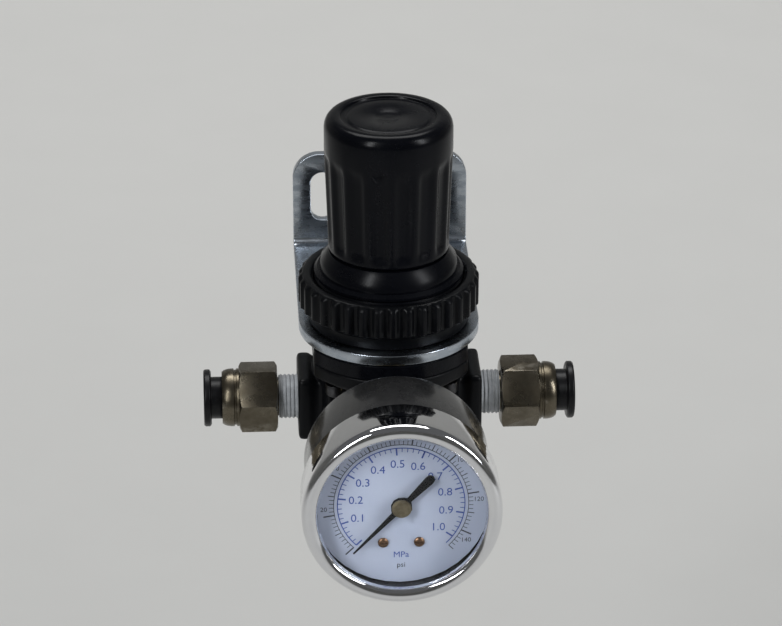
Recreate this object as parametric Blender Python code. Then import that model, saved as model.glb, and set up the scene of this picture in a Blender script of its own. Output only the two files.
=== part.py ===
"""Modular air pressure regulator with its wall bracket, pressure gauge and two tube fittings.

All dimensions are in millimetres and are scaled to metres when a mesh is made. The world origin
is the centre of the bracket's wall face, +Z is up and the gauge looks towards -Y. Heights of the
regulator's own pieces are measured from the port axis, and gauge and fitting pieces are measured
outwards from the upright axis, each along its own axis.
"""
import math

import bmesh
import bpy
from mathutils import Matrix, Vector

MILLIMETRE = 0.001
CLEARANCE = 0.3

# Facets round a circle, for wide, middling and small pieces
WIDE = 36
MIDDLE = 24
SMALL = 16
TINY = 8

# Where the axes lie from the centre of the wall face
WALL_TO_AXIS = 42.0
WALL_CENTRE_HEIGHT = 30.0

# Body and its flange
PORT_FACE = 20.5
PORT_BORE_RADIUS = 5.25
PORT_BORE_END = 11.5
BARREL_RADIUS = 16.75
FLANGE_RADIUS = 19.75
FLANGE_FLAT = 17.0
BODY_TOP = 13.0
FLANGE_UNDERSIDE = 9.6
BODY_BOTTOM = -12.0
GAUGE_BORE_RADIUS = 4.35
GAUGE_BORE_END = 10.5
BOSS_FACE = 19.0
SCREW_CIRCLE = 17.25
SCREW_HOLE_RADIUS = 1.6

# Bonnet, bracket and panel nut
BONNET_BASE = BODY_TOP + CLEARANCE
BONNET_SHOULDER = 16.7
NECK_RADIUS = 16.5
TOWER_RADIUS = 11.6
CHAMBER_RADIUS = 10.4
TOWER_TOP = 58.0
SHEET = 2.3
BRACKET_LOW = BONNET_SHOULDER + CLEARANCE
BRACKET_TOP = 41.5
BRACKET_HALF_WIDTH = 20.0
BRACKET_HOLE_RADIUS = NECK_RADIUS + CLEARANCE
SLOT_OFFSET = 13.2
SLOT_WIDTH = 5.5
SLOT_LENGTH = 12.0
SLOT_HEIGHT = 31.0
NUT_LOW = BRACKET_LOW + SHEET + CLEARANCE
NUT_TOP = 30.6
NUT_RADIUS = 20.0
NUT_RIBS = 36

# Knob and adjusting train
KNOB_LOW = 36.6
KNOB_TOP = 68.0
KNOB_TOP_RADIUS = 14.1
KNOB_LOW_RADIUS = 13.3
KNOB_FLUTES = 16
FLUTE_DEPTH = 0.55
DRIVE_FLATS = 3.5
SCREW_RADIUS = 3.4
NUT_SEAT_LOW = 44.0
NUT_SEAT_TOP = 48.0
SPRING_WIRE = 1.05

# Gauge, measured forwards from the upright axis
CASE_RADIUS = 20.0
CASE_BACK = 29.8
CASE_FRONT = 53.3
BEZEL_RADIUS = 21.3
BEZEL_BACK = 46.0
BEZEL_FRONT = 57.0
WINDOW_OPENING = 17.9
DIAL_FRONT = 51.1
DIAL_SCREW_X = 3.85
DIAL_SCREW_Y = -9.0
POINTER_REST = math.radians(137.0)
GEAR_CENTRES = 10.8
PINION_TEETH = 12
SECTOR_TEETH = 60

# Push-in fitting, measured outwards from the upright axis
HEX_START = 25.0
HEX_END = 33.6
FITTING_END = 37.4
COLLAR_FLANGE = 39.8
COLLAR_END = 41.5
TUBE_RADIUS = 4.15

BLACK_PAINT = ((0.022, 0.023, 0.027), 0.42, 0.0)
BLACK_PLASTIC = ((0.018, 0.019, 0.024), 0.38, 0.0)
ZINC = ((0.60, 0.64, 0.68), 0.30, 1.0)
STEEL = ((0.55, 0.55, 0.56), 0.28, 1.0)
CHROME = ((0.78, 0.78, 0.80), 0.07, 1.0)
BRASS = ((0.62, 0.47, 0.22), 0.28, 1.0)
NICKEL_BRASS = ((0.36, 0.32, 0.25), 0.24, 1.0)
RUBBER = ((0.03, 0.03, 0.03), 0.75, 0.0)
SEALANT = ((0.36, 0.39, 0.41), 0.55, 0.0)
DIAL_WHITE = ((0.80, 0.84, 0.90), 0.50, 0.0)
CLEAR = ((0.92, 0.95, 0.96), 0.06, 0.0)


# ---------------------------------------------------------------- scene and mesh helpers

def clear_scene():
    for thing in list(bpy.data.objects):
        bpy.data.objects.remove(thing, do_unlink=True)


def material(name, look):
    """A Principled material from a (colour, roughness, metallic) look."""
    colour, roughness, metallic = look
    made = bpy.data.materials.new(name)
    made.use_nodes = True
    shader = made.node_tree.nodes["Principled BSDF"]
    shader.inputs["Base Color"].default_value = (*colour, 1.0)
    shader.inputs["Roughness"].default_value = roughness
    shader.inputs["Metallic"].default_value = metallic
    made.diffuse_color = (*colour, 1.0)
    return made


def axis_frame(name, place, turn=(0.0, 0.0, 0.0), parent=None):
    """An empty whose local +Z is one of the regulator's axes."""
    frame = bpy.data.objects.new(name, None)
    bpy.context.collection.objects.link(frame)
    frame.location = Vector(place) * MILLIMETRE
    frame.rotation_euler = turn
    frame.parent = parent
    return frame


def solid(name, mesh_data, look, frame, place=(0.0, 0.0, 0.0), sharp=35.0):
    """Turn a bmesh in millimetres into a named object on one of the axis frames."""
    bmesh.ops.remove_doubles(mesh_data, verts=mesh_data.verts, dist=1e-4)
    bmesh.ops.recalc_face_normals(mesh_data, faces=mesh_data.faces)
    if mesh_data.calc_volume(signed=True) < 0:
        bmesh.ops.reverse_faces(mesh_data, faces=mesh_data.faces)
    bmesh.ops.scale(mesh_data, vec=(MILLIMETRE,) * 3, verts=mesh_data.verts)
    mesh = bpy.data.meshes.new(name)
    mesh_data.to_mesh(mesh)
    mesh_data.free()
    mesh.materials.append(material(name, look))
    mesh.shade_smooth()
    mesh.set_sharp_from_angle(angle=math.radians(sharp))
    made = bpy.data.objects.new(name, mesh)
    bpy.context.collection.objects.link(made)
    made.parent = frame
    made.location = Vector(place) * MILLIMETRE
    return made


def combine(target, operation, cutters, sharp=35.0):
    """Apply one Boolean per cutter to the target and drop the cutters."""
    for cutter in cutters:
        modifier = target.modifiers.new("shape", "BOOLEAN")
        modifier.operation = operation
        modifier.solver = "EXACT"
        modifier.object = cutter
    bpy.context.view_layer.update()
    graph = bpy.context.evaluated_depsgraph_get()
    shaped = bpy.data.meshes.new_from_object(target.evaluated_get(graph))
    target.modifiers.clear()
    target.data = shaped
    own = shaped.materials[0]
    shaped.materials.clear()
    shaped.materials.append(own)
    for face in shaped.polygons:
        face.material_index = 0
    shaped.shade_smooth()
    shaped.set_sharp_from_angle(angle=math.radians(sharp))
    for cutter in cutters:
        bpy.data.objects.remove(cutter, do_unlink=True)


def turned(name, outline, look, frame, steps=32, place=(0.0, 0.0, 0.0)):
    """A solid of revolution about local Z from a half outline of (radius, height) points.

    An outline that starts and ends on the axis is a solid piece; any other one is closed into
    a ring with a bore.
    """
    work = bmesh.new()
    points = [work.verts.new((radius, 0.0, height)) for radius, height in outline]
    edges = [work.edges.new(pair) for pair in zip(points, points[1:])]
    if outline[0][0] > 0 or outline[-1][0] > 0:
        edges.append(work.edges.new((points[-1], points[0])))
    bmesh.ops.spin(work, geom=points + edges, cent=(0, 0, 0), axis=(0, 0, 1),
                   angle=math.tau, steps=steps, use_merge=True)
    return solid(name, work, look, frame, place)


def plate(name, loops, low, high, look, frame, place=(0.0, 0.0, 0.0)):
    """A flat plate between two heights: the first loop is its edge, the others are holes."""
    work = bmesh.new()
    for loop in loops:
        points = [work.verts.new((x, y, low)) for x, y in loop]
        for start, end in zip(points, points[1:] + points[:1]):
            work.edges.new((start, end))
    bmesh.ops.triangle_fill(work, edges=work.edges[:], use_beauty=True, use_dissolve=False)
    raised = bmesh.ops.extrude_face_region(work, geom=work.faces[:])["geom"]
    lifted = [item for item in raised if isinstance(item, bmesh.types.BMVert)]
    bmesh.ops.translate(work, verts=lifted, vec=(0, 0, high - low))
    return solid(name, work, look, frame, place)


def circle(radius, steps=24, centre=(0.0, 0.0)):
    return [(centre[0] + radius * math.cos(math.tau * step / steps),
             centre[1] + radius * math.sin(math.tau * step / steps)) for step in range(steps)]


def arc(centre, radius, start, end, steps):
    """Points of an arc between two angles in degrees, ends included."""
    angles = [math.radians(start + (end - start) * step / steps) for step in range(steps + 1)]
    return [(centre[0] + radius * math.cos(angle), centre[1] + radius * math.sin(angle))
            for angle in angles]


def polygon_radius(flat, sides, angle):
    """Distance from the centre to a polygon's edge, in the direction of the angle."""
    half = math.pi / sides
    return flat / math.cos((angle + half) % (2 * half) - half)


def stacked(name, rings, points, look, frame, closed=True, sharp=35.0):
    """A solid through rings of (radius rule, height), closed through its bore or capped.

    A radius rule is a number, or a function of the angle for flats and flutes.
    """
    work = bmesh.new()
    rows = []
    for rule, height in rings:
        row = []
        for step in range(points):
            angle = math.tau * step / points
            radius = rule(angle) if callable(rule) else rule
            row.append(work.verts.new((radius * math.cos(angle), radius * math.sin(angle), height)))
        rows.append(row)
    pairs = list(zip(rows, rows[1:]))
    if closed:
        pairs.append((rows[-1], rows[0]))
    else:
        work.faces.new(rows[0])
        work.faces.new(rows[-1])
    for lower, upper in pairs:
        for step in range(points):
            after = (step + 1) % points
            work.faces.new((lower[step], lower[after], upper[after], upper[step]))
    return solid(name, work, look, frame, sharp=sharp)


def swept(name, frames, section, look, frame, sharp=50.0):
    """A bar that carries a flat section through a list of (centre, sideways, upwards) frames."""
    work = bmesh.new()
    rows = []
    for centre, sideways, upwards in frames:
        rows.append([work.verts.new(centre + sideways * x + upwards * y) for x, y in section])
    work.faces.new(rows[0])
    work.faces.new(rows[-1])
    for lower, upper in zip(rows, rows[1:]):
        for step in range(len(section)):
            after = (step + 1) % len(section)
            work.faces.new((lower[step], lower[after], upper[after], upper[step]))
    return solid(name, work, look, frame, sharp=sharp)


def coil(name, radius, wire, low, high, turns, look, frame):
    """A compression spring of round wire between two heights."""
    steps = int(turns * 10)
    frames = []
    for step in range(steps + 1):
        share = step / steps
        angle = math.tau * turns * share
        outwards = Vector((math.cos(angle), math.sin(angle), 0.0))
        height = low + wire + (high - low - 2 * wire) * share
        frames.append((outwards * radius + Vector((0, 0, height)), outwards, Vector((0, 0, 1))))
    return swept(name, frames, circle(wire, 5), look, frame)


def seal_ring(name, radius, thickness, height, look, frame):
    """An O-ring about the frame's axis."""
    section = [(radius + x, height + y) for x, y in circle(thickness, 6)]
    return turned(name, section, look, frame, SMALL)


def box(name, low, high, frame):
    """A plain block used as a cutter."""
    corners = [(low[0], low[1]), (high[0], low[1]), (high[0], high[1]), (low[0], high[1])]
    return plate(name, [corners], low[2], high[2], STEEL, frame)


def rod(name, radius, low, high, frame, place=(0.0, 0.0, 0.0), steps=SMALL):
    """A plain round bar used as a cutter."""
    return turned(name, [(0, low), (radius, low), (radius, high), (0, high)], STEEL, frame,
                  steps, place)


def screw_places():
    """Centres of the four bonnet screws, between the ports."""
    for corner in range(4):
        angle = math.radians(45 + 90 * corner)
        yield SCREW_CIRCLE * math.cos(angle), SCREW_CIRCLE * math.sin(angle)


# ---------------------------------------------------------------- regulator

def port_block(frame):
    """Both port ends: a square head that slopes in to a slightly narrower bar, on the X axis."""
    head_half, bar_half = (7.6, 7.5), (6.9, 6.8)
    stations = [(-PORT_FACE, head_half), (-18.0, head_half), (-16.6, bar_half),
                (16.6, bar_half), (18.0, head_half), (PORT_FACE, head_half)]
    chamfer = 1.2
    work = bmesh.new()
    rows = []
    for x, (deep, tall) in stations:
        outline = [(deep - chamfer, -tall), (deep, -tall + chamfer), (deep, tall - chamfer),
                   (deep - chamfer, tall), (-deep + chamfer, tall), (-deep, tall - chamfer),
                   (-deep, -tall + chamfer), (-deep + chamfer, -tall)]
        rows.append([work.verts.new((x, y, z)) for y, z in outline])
    work.faces.new(rows[0])
    work.faces.new(rows[-1])
    for lower, upper in zip(rows, rows[1:]):
        for step in range(8):
            after = (step + 1) % 8
            work.faces.new((lower[step], lower[after], upper[after], upper[step]))
    return solid("port_block", work, BLACK_PAINT, frame)


def flange_flats(frame):
    """Blocks that trim the clamped flanges flat above the ports."""
    return [box("flat", (min(side * FLANGE_FLAT, side * 25.0), -25.0, FLANGE_UNDERSIDE - 0.5),
                (max(side * FLANGE_FLAT, side * 25.0), 25.0, BONNET_SHOULDER + 0.5), frame)
            for side in (-1, 1)]


def make_body(stack, gauge, rear, left, right):
    """Die-cast body: barrel, flange, port ends, gauge bosses and all of its passages."""
    body = turned("body", [
        (0, BODY_BOTTOM), (BARREL_RADIUS - 1.0, BODY_BOTTOM), (BARREL_RADIUS, BODY_BOTTOM + 1.0),
        (BARREL_RADIUS, FLANGE_UNDERSIDE), (FLANGE_RADIUS - 0.4, FLANGE_UNDERSIDE),
        (FLANGE_RADIUS, FLANGE_UNDERSIDE + 0.4), (FLANGE_RADIUS, BODY_TOP), (0, BODY_TOP)],
        BLACK_PAINT, stack, WIDE)
    core = turned("core", [
        (0, BODY_BOTTOM - 1), (7.0, BODY_BOTTOM - 1), (7.0, -1.0), (3.0, -1.0), (3.0, 10.0),
        (13.0, 10.0), (13.0, BODY_TOP - 0.6), (15.2, BODY_TOP - 0.6), (15.2, BODY_TOP + 1),
        (0, BODY_TOP + 1)], STEEL, stack, MIDDLE)
    bosses = [rod("boss", 7.5, 8.5, BOSS_FACE, axis) for axis in (gauge, rear)]
    scallops = [rod("scallop", 2.8, BODY_BOTTOM - 2, FLANGE_UNDERSIDE + 0.2, stack, (x, y, 0), TINY)
                for x, y in screw_places()]
    combine(body, "UNION", [port_block(stack)] + bosses)
    combine(body, "DIFFERENCE", scallops + flange_flats(stack))
    passages = [core]
    for axis in (left, right):
        passages.append(rod("port_bore", PORT_BORE_RADIUS, PORT_BORE_END, PORT_FACE + 1, axis))
    for axis in (gauge, rear):
        passages.append(rod("gauge_bore", GAUGE_BORE_RADIUS, GAUGE_BORE_END, BOSS_FACE + 1, axis))
        passages.append(rod("gauge_way", 1.4, 2.0, GAUGE_BORE_END + 1, axis, (0, 3.0, 0), TINY))
    passages.append(rod("inlet_way", 1.9, 6.0, PORT_BORE_END + 1, left, (3.2, 0, 0), TINY))
    passages.append(rod("outlet_way", 1.9, 2.0, PORT_BORE_END + 1, right, (-3.0, 0, 0), TINY))
    for x, y in screw_places():
        passages.append(rod("screw_hole", SCREW_HOLE_RADIUS, 8.0, 14.0, stack, (x, y, 0), TINY))
    combine(body, "DIFFERENCE", passages, sharp=30.0)


def make_bonnet(stack):
    """Bonnet: clamping flange, threaded neck for the panel nut and the tower under the knob."""
    bonnet = turned("bonnet", [
        (15.2, BONNET_BASE), (FLANGE_RADIUS, BONNET_BASE), (FLANGE_RADIUS, BONNET_SHOULDER - 0.4),
        (FLANGE_RADIUS - 0.4, BONNET_SHOULDER), (NECK_RADIUS, BONNET_SHOULDER),
        (NECK_RADIUS, 31.4), (NECK_RADIUS - 0.7, 32.1), (15.2, 32.1), (15.0, 34.0), (13.2, 36.2),
        (TOWER_RADIUS, 36.2), (TOWER_RADIUS, TOWER_TOP - 0.6), (TOWER_RADIUS - 0.6, TOWER_TOP),
        (4.4, TOWER_TOP), (4.4, 55.0), (CHAMBER_RADIUS, 55.0), (CHAMBER_RADIUS, 15.8),
        (13.0, 15.8), (13.0, 13.9), (15.2, 13.9)], BLACK_PLASTIC, stack, WIDE)
    cutters = [box("keyway", (-11.0, -1.8, 16.5), (11.0, 1.8, 54.4), stack),
               rod("vent", 0.8, 9.0, 18.0, stack, steps=TINY)]
    cutters[1].rotation_euler = (math.radians(-90), 0.0, 0.0)
    cutters[1].location = (0.0, 0.0, 33.4 * MILLIMETRE)
    for x, y in screw_places():
        cutters.append(rod("thread", SCREW_HOLE_RADIUS, 12.0, 16.0, stack, (x, y, 0), TINY))
    combine(bonnet, "DIFFERENCE", cutters + flange_flats(stack))


def make_bonnet_screws(stack):
    """Four socket screws that hold the bonnet, driven from under the body's flange."""
    for number, (x, y) in enumerate(screw_places(), start=1):
        turned(f"bonnet_screw_{number}", [
            (0, 8.0), (1.0, 8.0), (1.0, 6.6), (2.1, 6.6), (2.4, 6.9), (2.4, 9.3), (1.3, 9.3),
            (1.3, 15.4), (0, 15.4)], STEEL, stack, TINY, (x, y, 0))


def make_bracket(stack):
    """Bent zinc-plated sheet: ring for the bonnet neck, and a slotted leg for the wall."""
    inner, outer = 1.5, 1.5 + SHEET
    top = BRACKET_LOW + SHEET
    bend = (WALL_TO_AXIS - outer, BRACKET_LOW + outer)
    side = [(-BRACKET_HALF_WIDTH, BRACKET_LOW)]
    side += arc(bend, outer, -90, 0, 6)
    side += [(WALL_TO_AXIS, BRACKET_TOP), (WALL_TO_AXIS - SHEET, BRACKET_TOP)]
    side += arc(bend, inner, 0, -90, 6)
    side += [(-BRACKET_HALF_WIDTH, top)]
    bracket = plate("bracket", [side], -BRACKET_HALF_WIDTH, BRACKET_HALF_WIDTH, ZINC, stack)
    bracket.data.transform(Matrix(((0, 0, 1, 0), (1, 0, 0, 0), (0, 1, 0, 0), (0, 0, 0, 1))))
    width, corner = BRACKET_HALF_WIDTH, 6.0
    plan = arc((0, 0), width, 180, 360, 24) + [(width, 50.0), (-width, 50.0)]
    face = [(-width - 1, 10.0), (width + 1, 10.0), (width + 1, BRACKET_TOP - corner - 1),
            (width, BRACKET_TOP - corner - 1)]
    face += arc((width - corner, BRACKET_TOP - corner), corner, 0, 90, 6)
    face += arc((-width + corner, BRACKET_TOP - corner), corner, 90, 180, 6)
    face += [(-width, BRACKET_TOP - corner - 1), (-width - 1, BRACKET_TOP - corner - 1)]
    elevation = plate("elevation", [face], -60.0, 60.0, ZINC, stack)
    elevation.rotation_euler = (math.radians(90), 0.0, 0.0)
    combine(bracket, "INTERSECT", [plate("plan", [plan], 10.0, 60.0, ZINC, stack), elevation])
    cutters = [rod("ring_hole", BRACKET_HOLE_RADIUS, 10.0, 25.0, stack, steps=WIDE)]
    for side_sign in (-1, 1):
        centre = side_sign * SLOT_OFFSET
        half, radius = (SLOT_LENGTH - SLOT_WIDTH) / 2, SLOT_WIDTH / 2
        slot = arc((centre, SLOT_HEIGHT + half), radius, 0, 180, 8)
        slot += arc((centre, SLOT_HEIGHT - half), radius, 180, 360, 8)
        cutter = plate("slot", [slot], -60.0, -25.0, ZINC, stack)
        cutter.rotation_euler = (math.radians(90), 0.0, 0.0)
        cutters.append(cutter)
    combine(bracket, "DIFFERENCE", cutters)


def make_panel_nut(stack):
    """Knurled ring nut that clamps the bracket on the bonnet's neck."""
    bore, skirt, top = NECK_RADIUS + 0.2, 17.8, NUT_TOP

    def knurl(angle):
        wave = math.cos(NUT_RIBS * angle)
        return NUT_RADIUS - 0.5 + 0.5 * max(-1.0, min(1.0, 1.6 * wave))

    stacked("panel_nut", [
        (bore, NUT_LOW), (skirt, NUT_LOW), (skirt, 22.4), (19.0, 22.7), (knurl, 23.3),
        (knurl, top - 0.7), (19.0, top), (17.4, top), (bore, top - 0.7)],
        NUT_RIBS * 2, BLACK_PLASTIC, stack)


def make_knob(stack):
    """Fluted adjusting knob: a cap over the bonnet's tower with a hexagon socket in its hub."""
    def grip(radius, depth):
        def rule(angle):
            valley = 0.5 - 0.5 * math.cos(KNOB_FLUTES * angle)
            return radius - depth * min(1.0, 1.5 * valley)
        return rule

    def socket(angle):
        return polygon_radius(DRIVE_FLATS + CLEARANCE, 6, angle)

    bore, roof, hub_low = TOWER_RADIUS + CLEARANCE, KNOB_TOP - 2.6, 60.2
    stacked("knob", [
        (bore, KNOB_LOW), (KNOB_LOW_RADIUS - 0.3, KNOB_LOW), (KNOB_LOW_RADIUS, KNOB_LOW + 0.5),
        (grip(KNOB_LOW_RADIUS, FLUTE_DEPTH), KNOB_LOW + 1.6),
        (grip(KNOB_TOP_RADIUS, FLUTE_DEPTH), 59.0), (KNOB_TOP_RADIUS, 60.6),
        (KNOB_TOP_RADIUS, 65.2), (KNOB_TOP_RADIUS - 0.7, 67.0), (KNOB_TOP_RADIUS - 2.2, KNOB_TOP),
        (10.4, KNOB_TOP), (10.0, KNOB_TOP - 0.6), (0.0, KNOB_TOP - 0.6), (0.0, roof),
        (socket, roof), (socket, hub_low), (6.4, hub_low), (6.4, roof - 0.4), (bore, roof - 0.4)],
        KNOB_FLUTES * 3, BLACK_PLASTIC, stack)


def make_adjusting_train(stack):
    """Screw that the knob turns, its retaining ring, the travelling nut and the main spring."""
    def drive(angle):
        return polygon_radius(DRIVE_FLATS, 6, angle)

    stacked("adjusting_screw", [
        (SCREW_RADIUS - 0.6, 33.0), (SCREW_RADIUS, 33.6), (SCREW_RADIUS, 52.4), (7.0, 52.4),
        (7.0, 54.7), (4.1, 54.7), (4.1, 58.1), (3.3, 58.1), (3.3, 59.3), (drive, 59.3),
        (drive, 64.0), (3.0, 64.6)], 24, STEEL, stack, closed=False)
    gap_half = 28
    clip = arc((0, 0), 5.4, 90 + gap_half, 450 - gap_half, 20)
    clip += arc((0, 0), 3.5, 450 - gap_half, 90 + gap_half, 20)
    plate("retaining_clip", [clip], 58.3, 59.1, STEEL, stack)
    lug_half = 8
    outline = arc((0, 0), 10.1, lug_half, 180 - lug_half, 12)
    outline += [(-10.75, 1.4), (-10.75, -1.4)]
    outline += arc((0, 0), 10.1, 180 + lug_half, 360 - lug_half, 12)
    outline += [(10.75, -1.4), (10.75, 1.4)]
    plate("adjusting_nut", [outline, circle(SCREW_RADIUS + 0.2)], NUT_SEAT_LOW, NUT_SEAT_TOP,
          BRASS, stack)
    coil("adjusting_spring", 8.0, SPRING_WIRE, 15.0, NUT_SEAT_LOW - CLEARANCE, 6.5, STEEL, stack)


def make_diaphragm(stack):
    """Rubber diaphragm with its plate and the hollow stud that meets the valve stem."""
    turned("diaphragm", [
        (2.3, 12.6), (9.3, 12.6), (10.2, 12.9), (11.0, 13.5), (11.6, 13.5), (12.4, 12.6),
        (14.9, 12.6), (14.9, 13.5), (12.9, 13.5), (11.8, 14.3), (10.8, 14.4), (9.8, 13.7),
        (9.0, 13.4), (2.3, 13.4)], RUBBER, stack, 20)
    turned("diaphragm_plate", [(2.3, 13.7), (8.9, 13.7), (9.5, 14.2), (9.5, 14.7), (2.3, 14.7)],
           STEEL, stack, 20)
    turned("diaphragm_stud", [
        (0.9, 11.4), (4.0, 11.4), (4.0, 12.3), (2.0, 12.3), (2.0, 15.0), (3.2, 15.0),
        (3.2, 15.7), (0.9, 15.7)], BRASS, stack, 12)


def make_valve(stack):
    """Balanced poppet, its seal and spring, and the guide plug that closes the body."""
    turned("valve_poppet", [
        (0, -11.2), (1.7, -11.2), (2.0, -10.9), (2.0, -4.4), (5.2, -4.4), (5.2, -2.9),
        (1.3, -2.9), (1.3, 10.2), (0.5, 11.1), (0, 11.1)], BRASS, stack, 12)
    turned("valve_seal", [(1.6, -2.6), (5.0, -2.6), (5.0, -1.4), (1.6, -1.4)], RUBBER, stack, SMALL)
    coil("valve_spring", 3.3, 0.35, -10.6, -4.7, 5.0, STEEL, stack)
    plug = turned("valve_guide", [
        (0, -17.0), (10.9, -17.0), (11.9, -16.0), (11.9, -12.3), (6.7, -12.3), (6.7, -11.8),
        (5.7, -11.8), (5.7, -10.1), (6.7, -10.1), (6.7, -8.6), (4.3, -8.6), (4.3, -10.9),
        (2.4, -10.9), (2.4, -14.0), (0, -14.0)], BLACK_PLASTIC, stack, MIDDLE)
    combine(plug, "DIFFERENCE", [box("driver_slot", (-9.0, -0.8, -18.0), (9.0, 0.8, -15.6), stack)])
    seal_ring("guide_seal", 6.35, 0.42, -10.95, RUBBER, stack)


def make_rear_plug(rear):
    """Hexagon-socket plug in the unused rear gauge port."""
    def socket(angle):
        return polygon_radius(1.9, 6, angle)

    stacked("rear_gauge_plug", [
        (0.0, 12.0), (4.0, 12.0), (4.0, 18.6), (3.7, 18.9), (socket, 18.9), (socket, 16.0),
        (0.0, 16.0)], 18, STEEL, rear)


# ---------------------------------------------------------------- gauge

def make_gauge_case(gauge):
    """Connector, case, bezel and window of the pressure gauge."""
    def wrench_flats(angle):
        return polygon_radius(6.0, 6, angle)

    stacked("gauge_connector", [
        (1.2, 10.9), (3.7, 10.9), (4.05, 11.4), (4.05, 19.4), (5.6, 19.4), (wrench_flats, 19.9),
        (wrench_flats, 26.6), (5.6, 27.1), (4.0, 27.1), (4.0, 38.6), (1.2, 38.6)],
        MIDDLE, BRASS, gauge)
    turned("gauge_case", [
        (4.3, CASE_BACK), (19.0, CASE_BACK), (19.7, CASE_BACK + 0.3), (CASE_RADIUS, CASE_BACK + 1),
        (CASE_RADIUS, CASE_FRONT), (19.3, CASE_FRONT), (19.3, CASE_BACK + 1.2),
        (4.3, CASE_BACK + 0.8)], BLACK_PAINT, gauge, WIDE)
    turned("gauge_bezel", [
        (20.3, BEZEL_BACK), (BEZEL_RADIUS - 0.3, BEZEL_BACK), (BEZEL_RADIUS, BEZEL_BACK + 0.4),
        (BEZEL_RADIUS, 55.4), (21.0, 56.3), (20.3, 56.9), (19.5, BEZEL_FRONT), (18.6, 56.7),
        (18.1, 56.1), (WINDOW_OPENING, 55.3), (20.3, 55.3)], CHROME, gauge, WIDE)
    turned("gauge_window", [(0, 53.7), (19.9, 53.7), (19.9, 55.0), (0, 55.0)], CLEAR, gauge, WIDE)


def make_dial(gauge):
    """Dial plate and the two screws that hold it on the movement."""
    spots = [(sign * DIAL_SCREW_X, DIAL_SCREW_Y) for sign in (-1, 1)]
    holes = [circle(1.1, 12)] + [circle(0.95, 12, spot) for spot in spots]
    plate("gauge_dial", [circle(18.9, WIDE)] + holes, DIAL_FRONT - 0.5, DIAL_FRONT, DIAL_WHITE, gauge)
    for side, spot in zip(("left", "right"), spots):
        turned(f"dial_screw_{side}", [
            (0, 44.6), (0.65, 44.6), (0.65, 51.4), (1.15, 51.4), (1.1, 51.7), (0.7, 51.9),
            (0, 51.9)], BRASS, gauge, TINY, (*spot, 0))


def make_pointer(gauge):
    """Pointer resting on zero, with its hub, arbor and pinion as one piece."""
    tip = [(-0.12, 15.0), (0.12, 15.0), (0.55, 2.4)]
    tail = [(0.55, -2.4), (1.0, -8.6)]
    tail += arc((0, -8.9), 1.0, 0, -180, 6)[1:-1]
    tail += [(-1.0, -8.6), (-0.55, -2.4)]
    centre = arc((0, 0), 2.3, 60, -60, 4)
    centre_left = arc((0, 0), 2.3, 240, 120, 4)
    outline = tip + centre + tail + centre_left + [(-0.55, 2.4)]
    swing = Matrix.Rotation(POINTER_REST, 2)
    turned_loops = [[tuple(swing @ Vector(point)) for point in loop]
                    for loop in (outline, circle(1.0, 12))]
    plate("gauge_pointer", turned_loops, 52.2, 52.6, BLACK_PLASTIC, gauge)

    def teeth(angle):
        return 1.64 - 0.34 * math.cos(PINION_TEETH * angle)

    stacked("pointer_arbor", [
        (0.5, 38.9), (0.75, 39.1), (0.75, 42.0), (teeth, 42.0), (teeth, 45.0), (0.75, 45.0),
        (0.75, 52.9), (2.1, 52.9), (2.1, 53.2), (1.6, 53.4)],
        PINION_TEETH * 2, BRASS, gauge, closed=False)


def sector_outline():
    """Toothed sector about its own pivot, turned to where it stands with the pointer on zero."""
    pitch = math.tau / SECTOR_TEETH
    lean = 4.5 * pitch
    count = 14
    outline = []
    for tooth in range(count):
        middle = math.pi / 2 + (tooth - count / 2 + 0.5) * pitch
        for offset, radius in ((-0.28, 8.5), (-0.1, 9.25), (0.1, 9.25), (0.28, 8.5)):
            angle = middle + offset * pitch
            outline.append((radius * math.cos(angle), radius * math.sin(angle)))
    outline += [(-1.9, 2.2), (-1.5, -5.2), (-0.9, -6.2), (0.9, -6.2), (1.5, -5.2), (1.9, 2.2)]
    swing = Matrix.Rotation(lean, 2)
    slot = arc((0, -4.9), 0.6, 0, 180, 5) + arc((0, -5.2), 0.6, 180, 360, 5)
    return [[tuple(swing @ Vector(point)) for point in loop]
            for loop in (outline, circle(0.8, 12), slot)]


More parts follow.
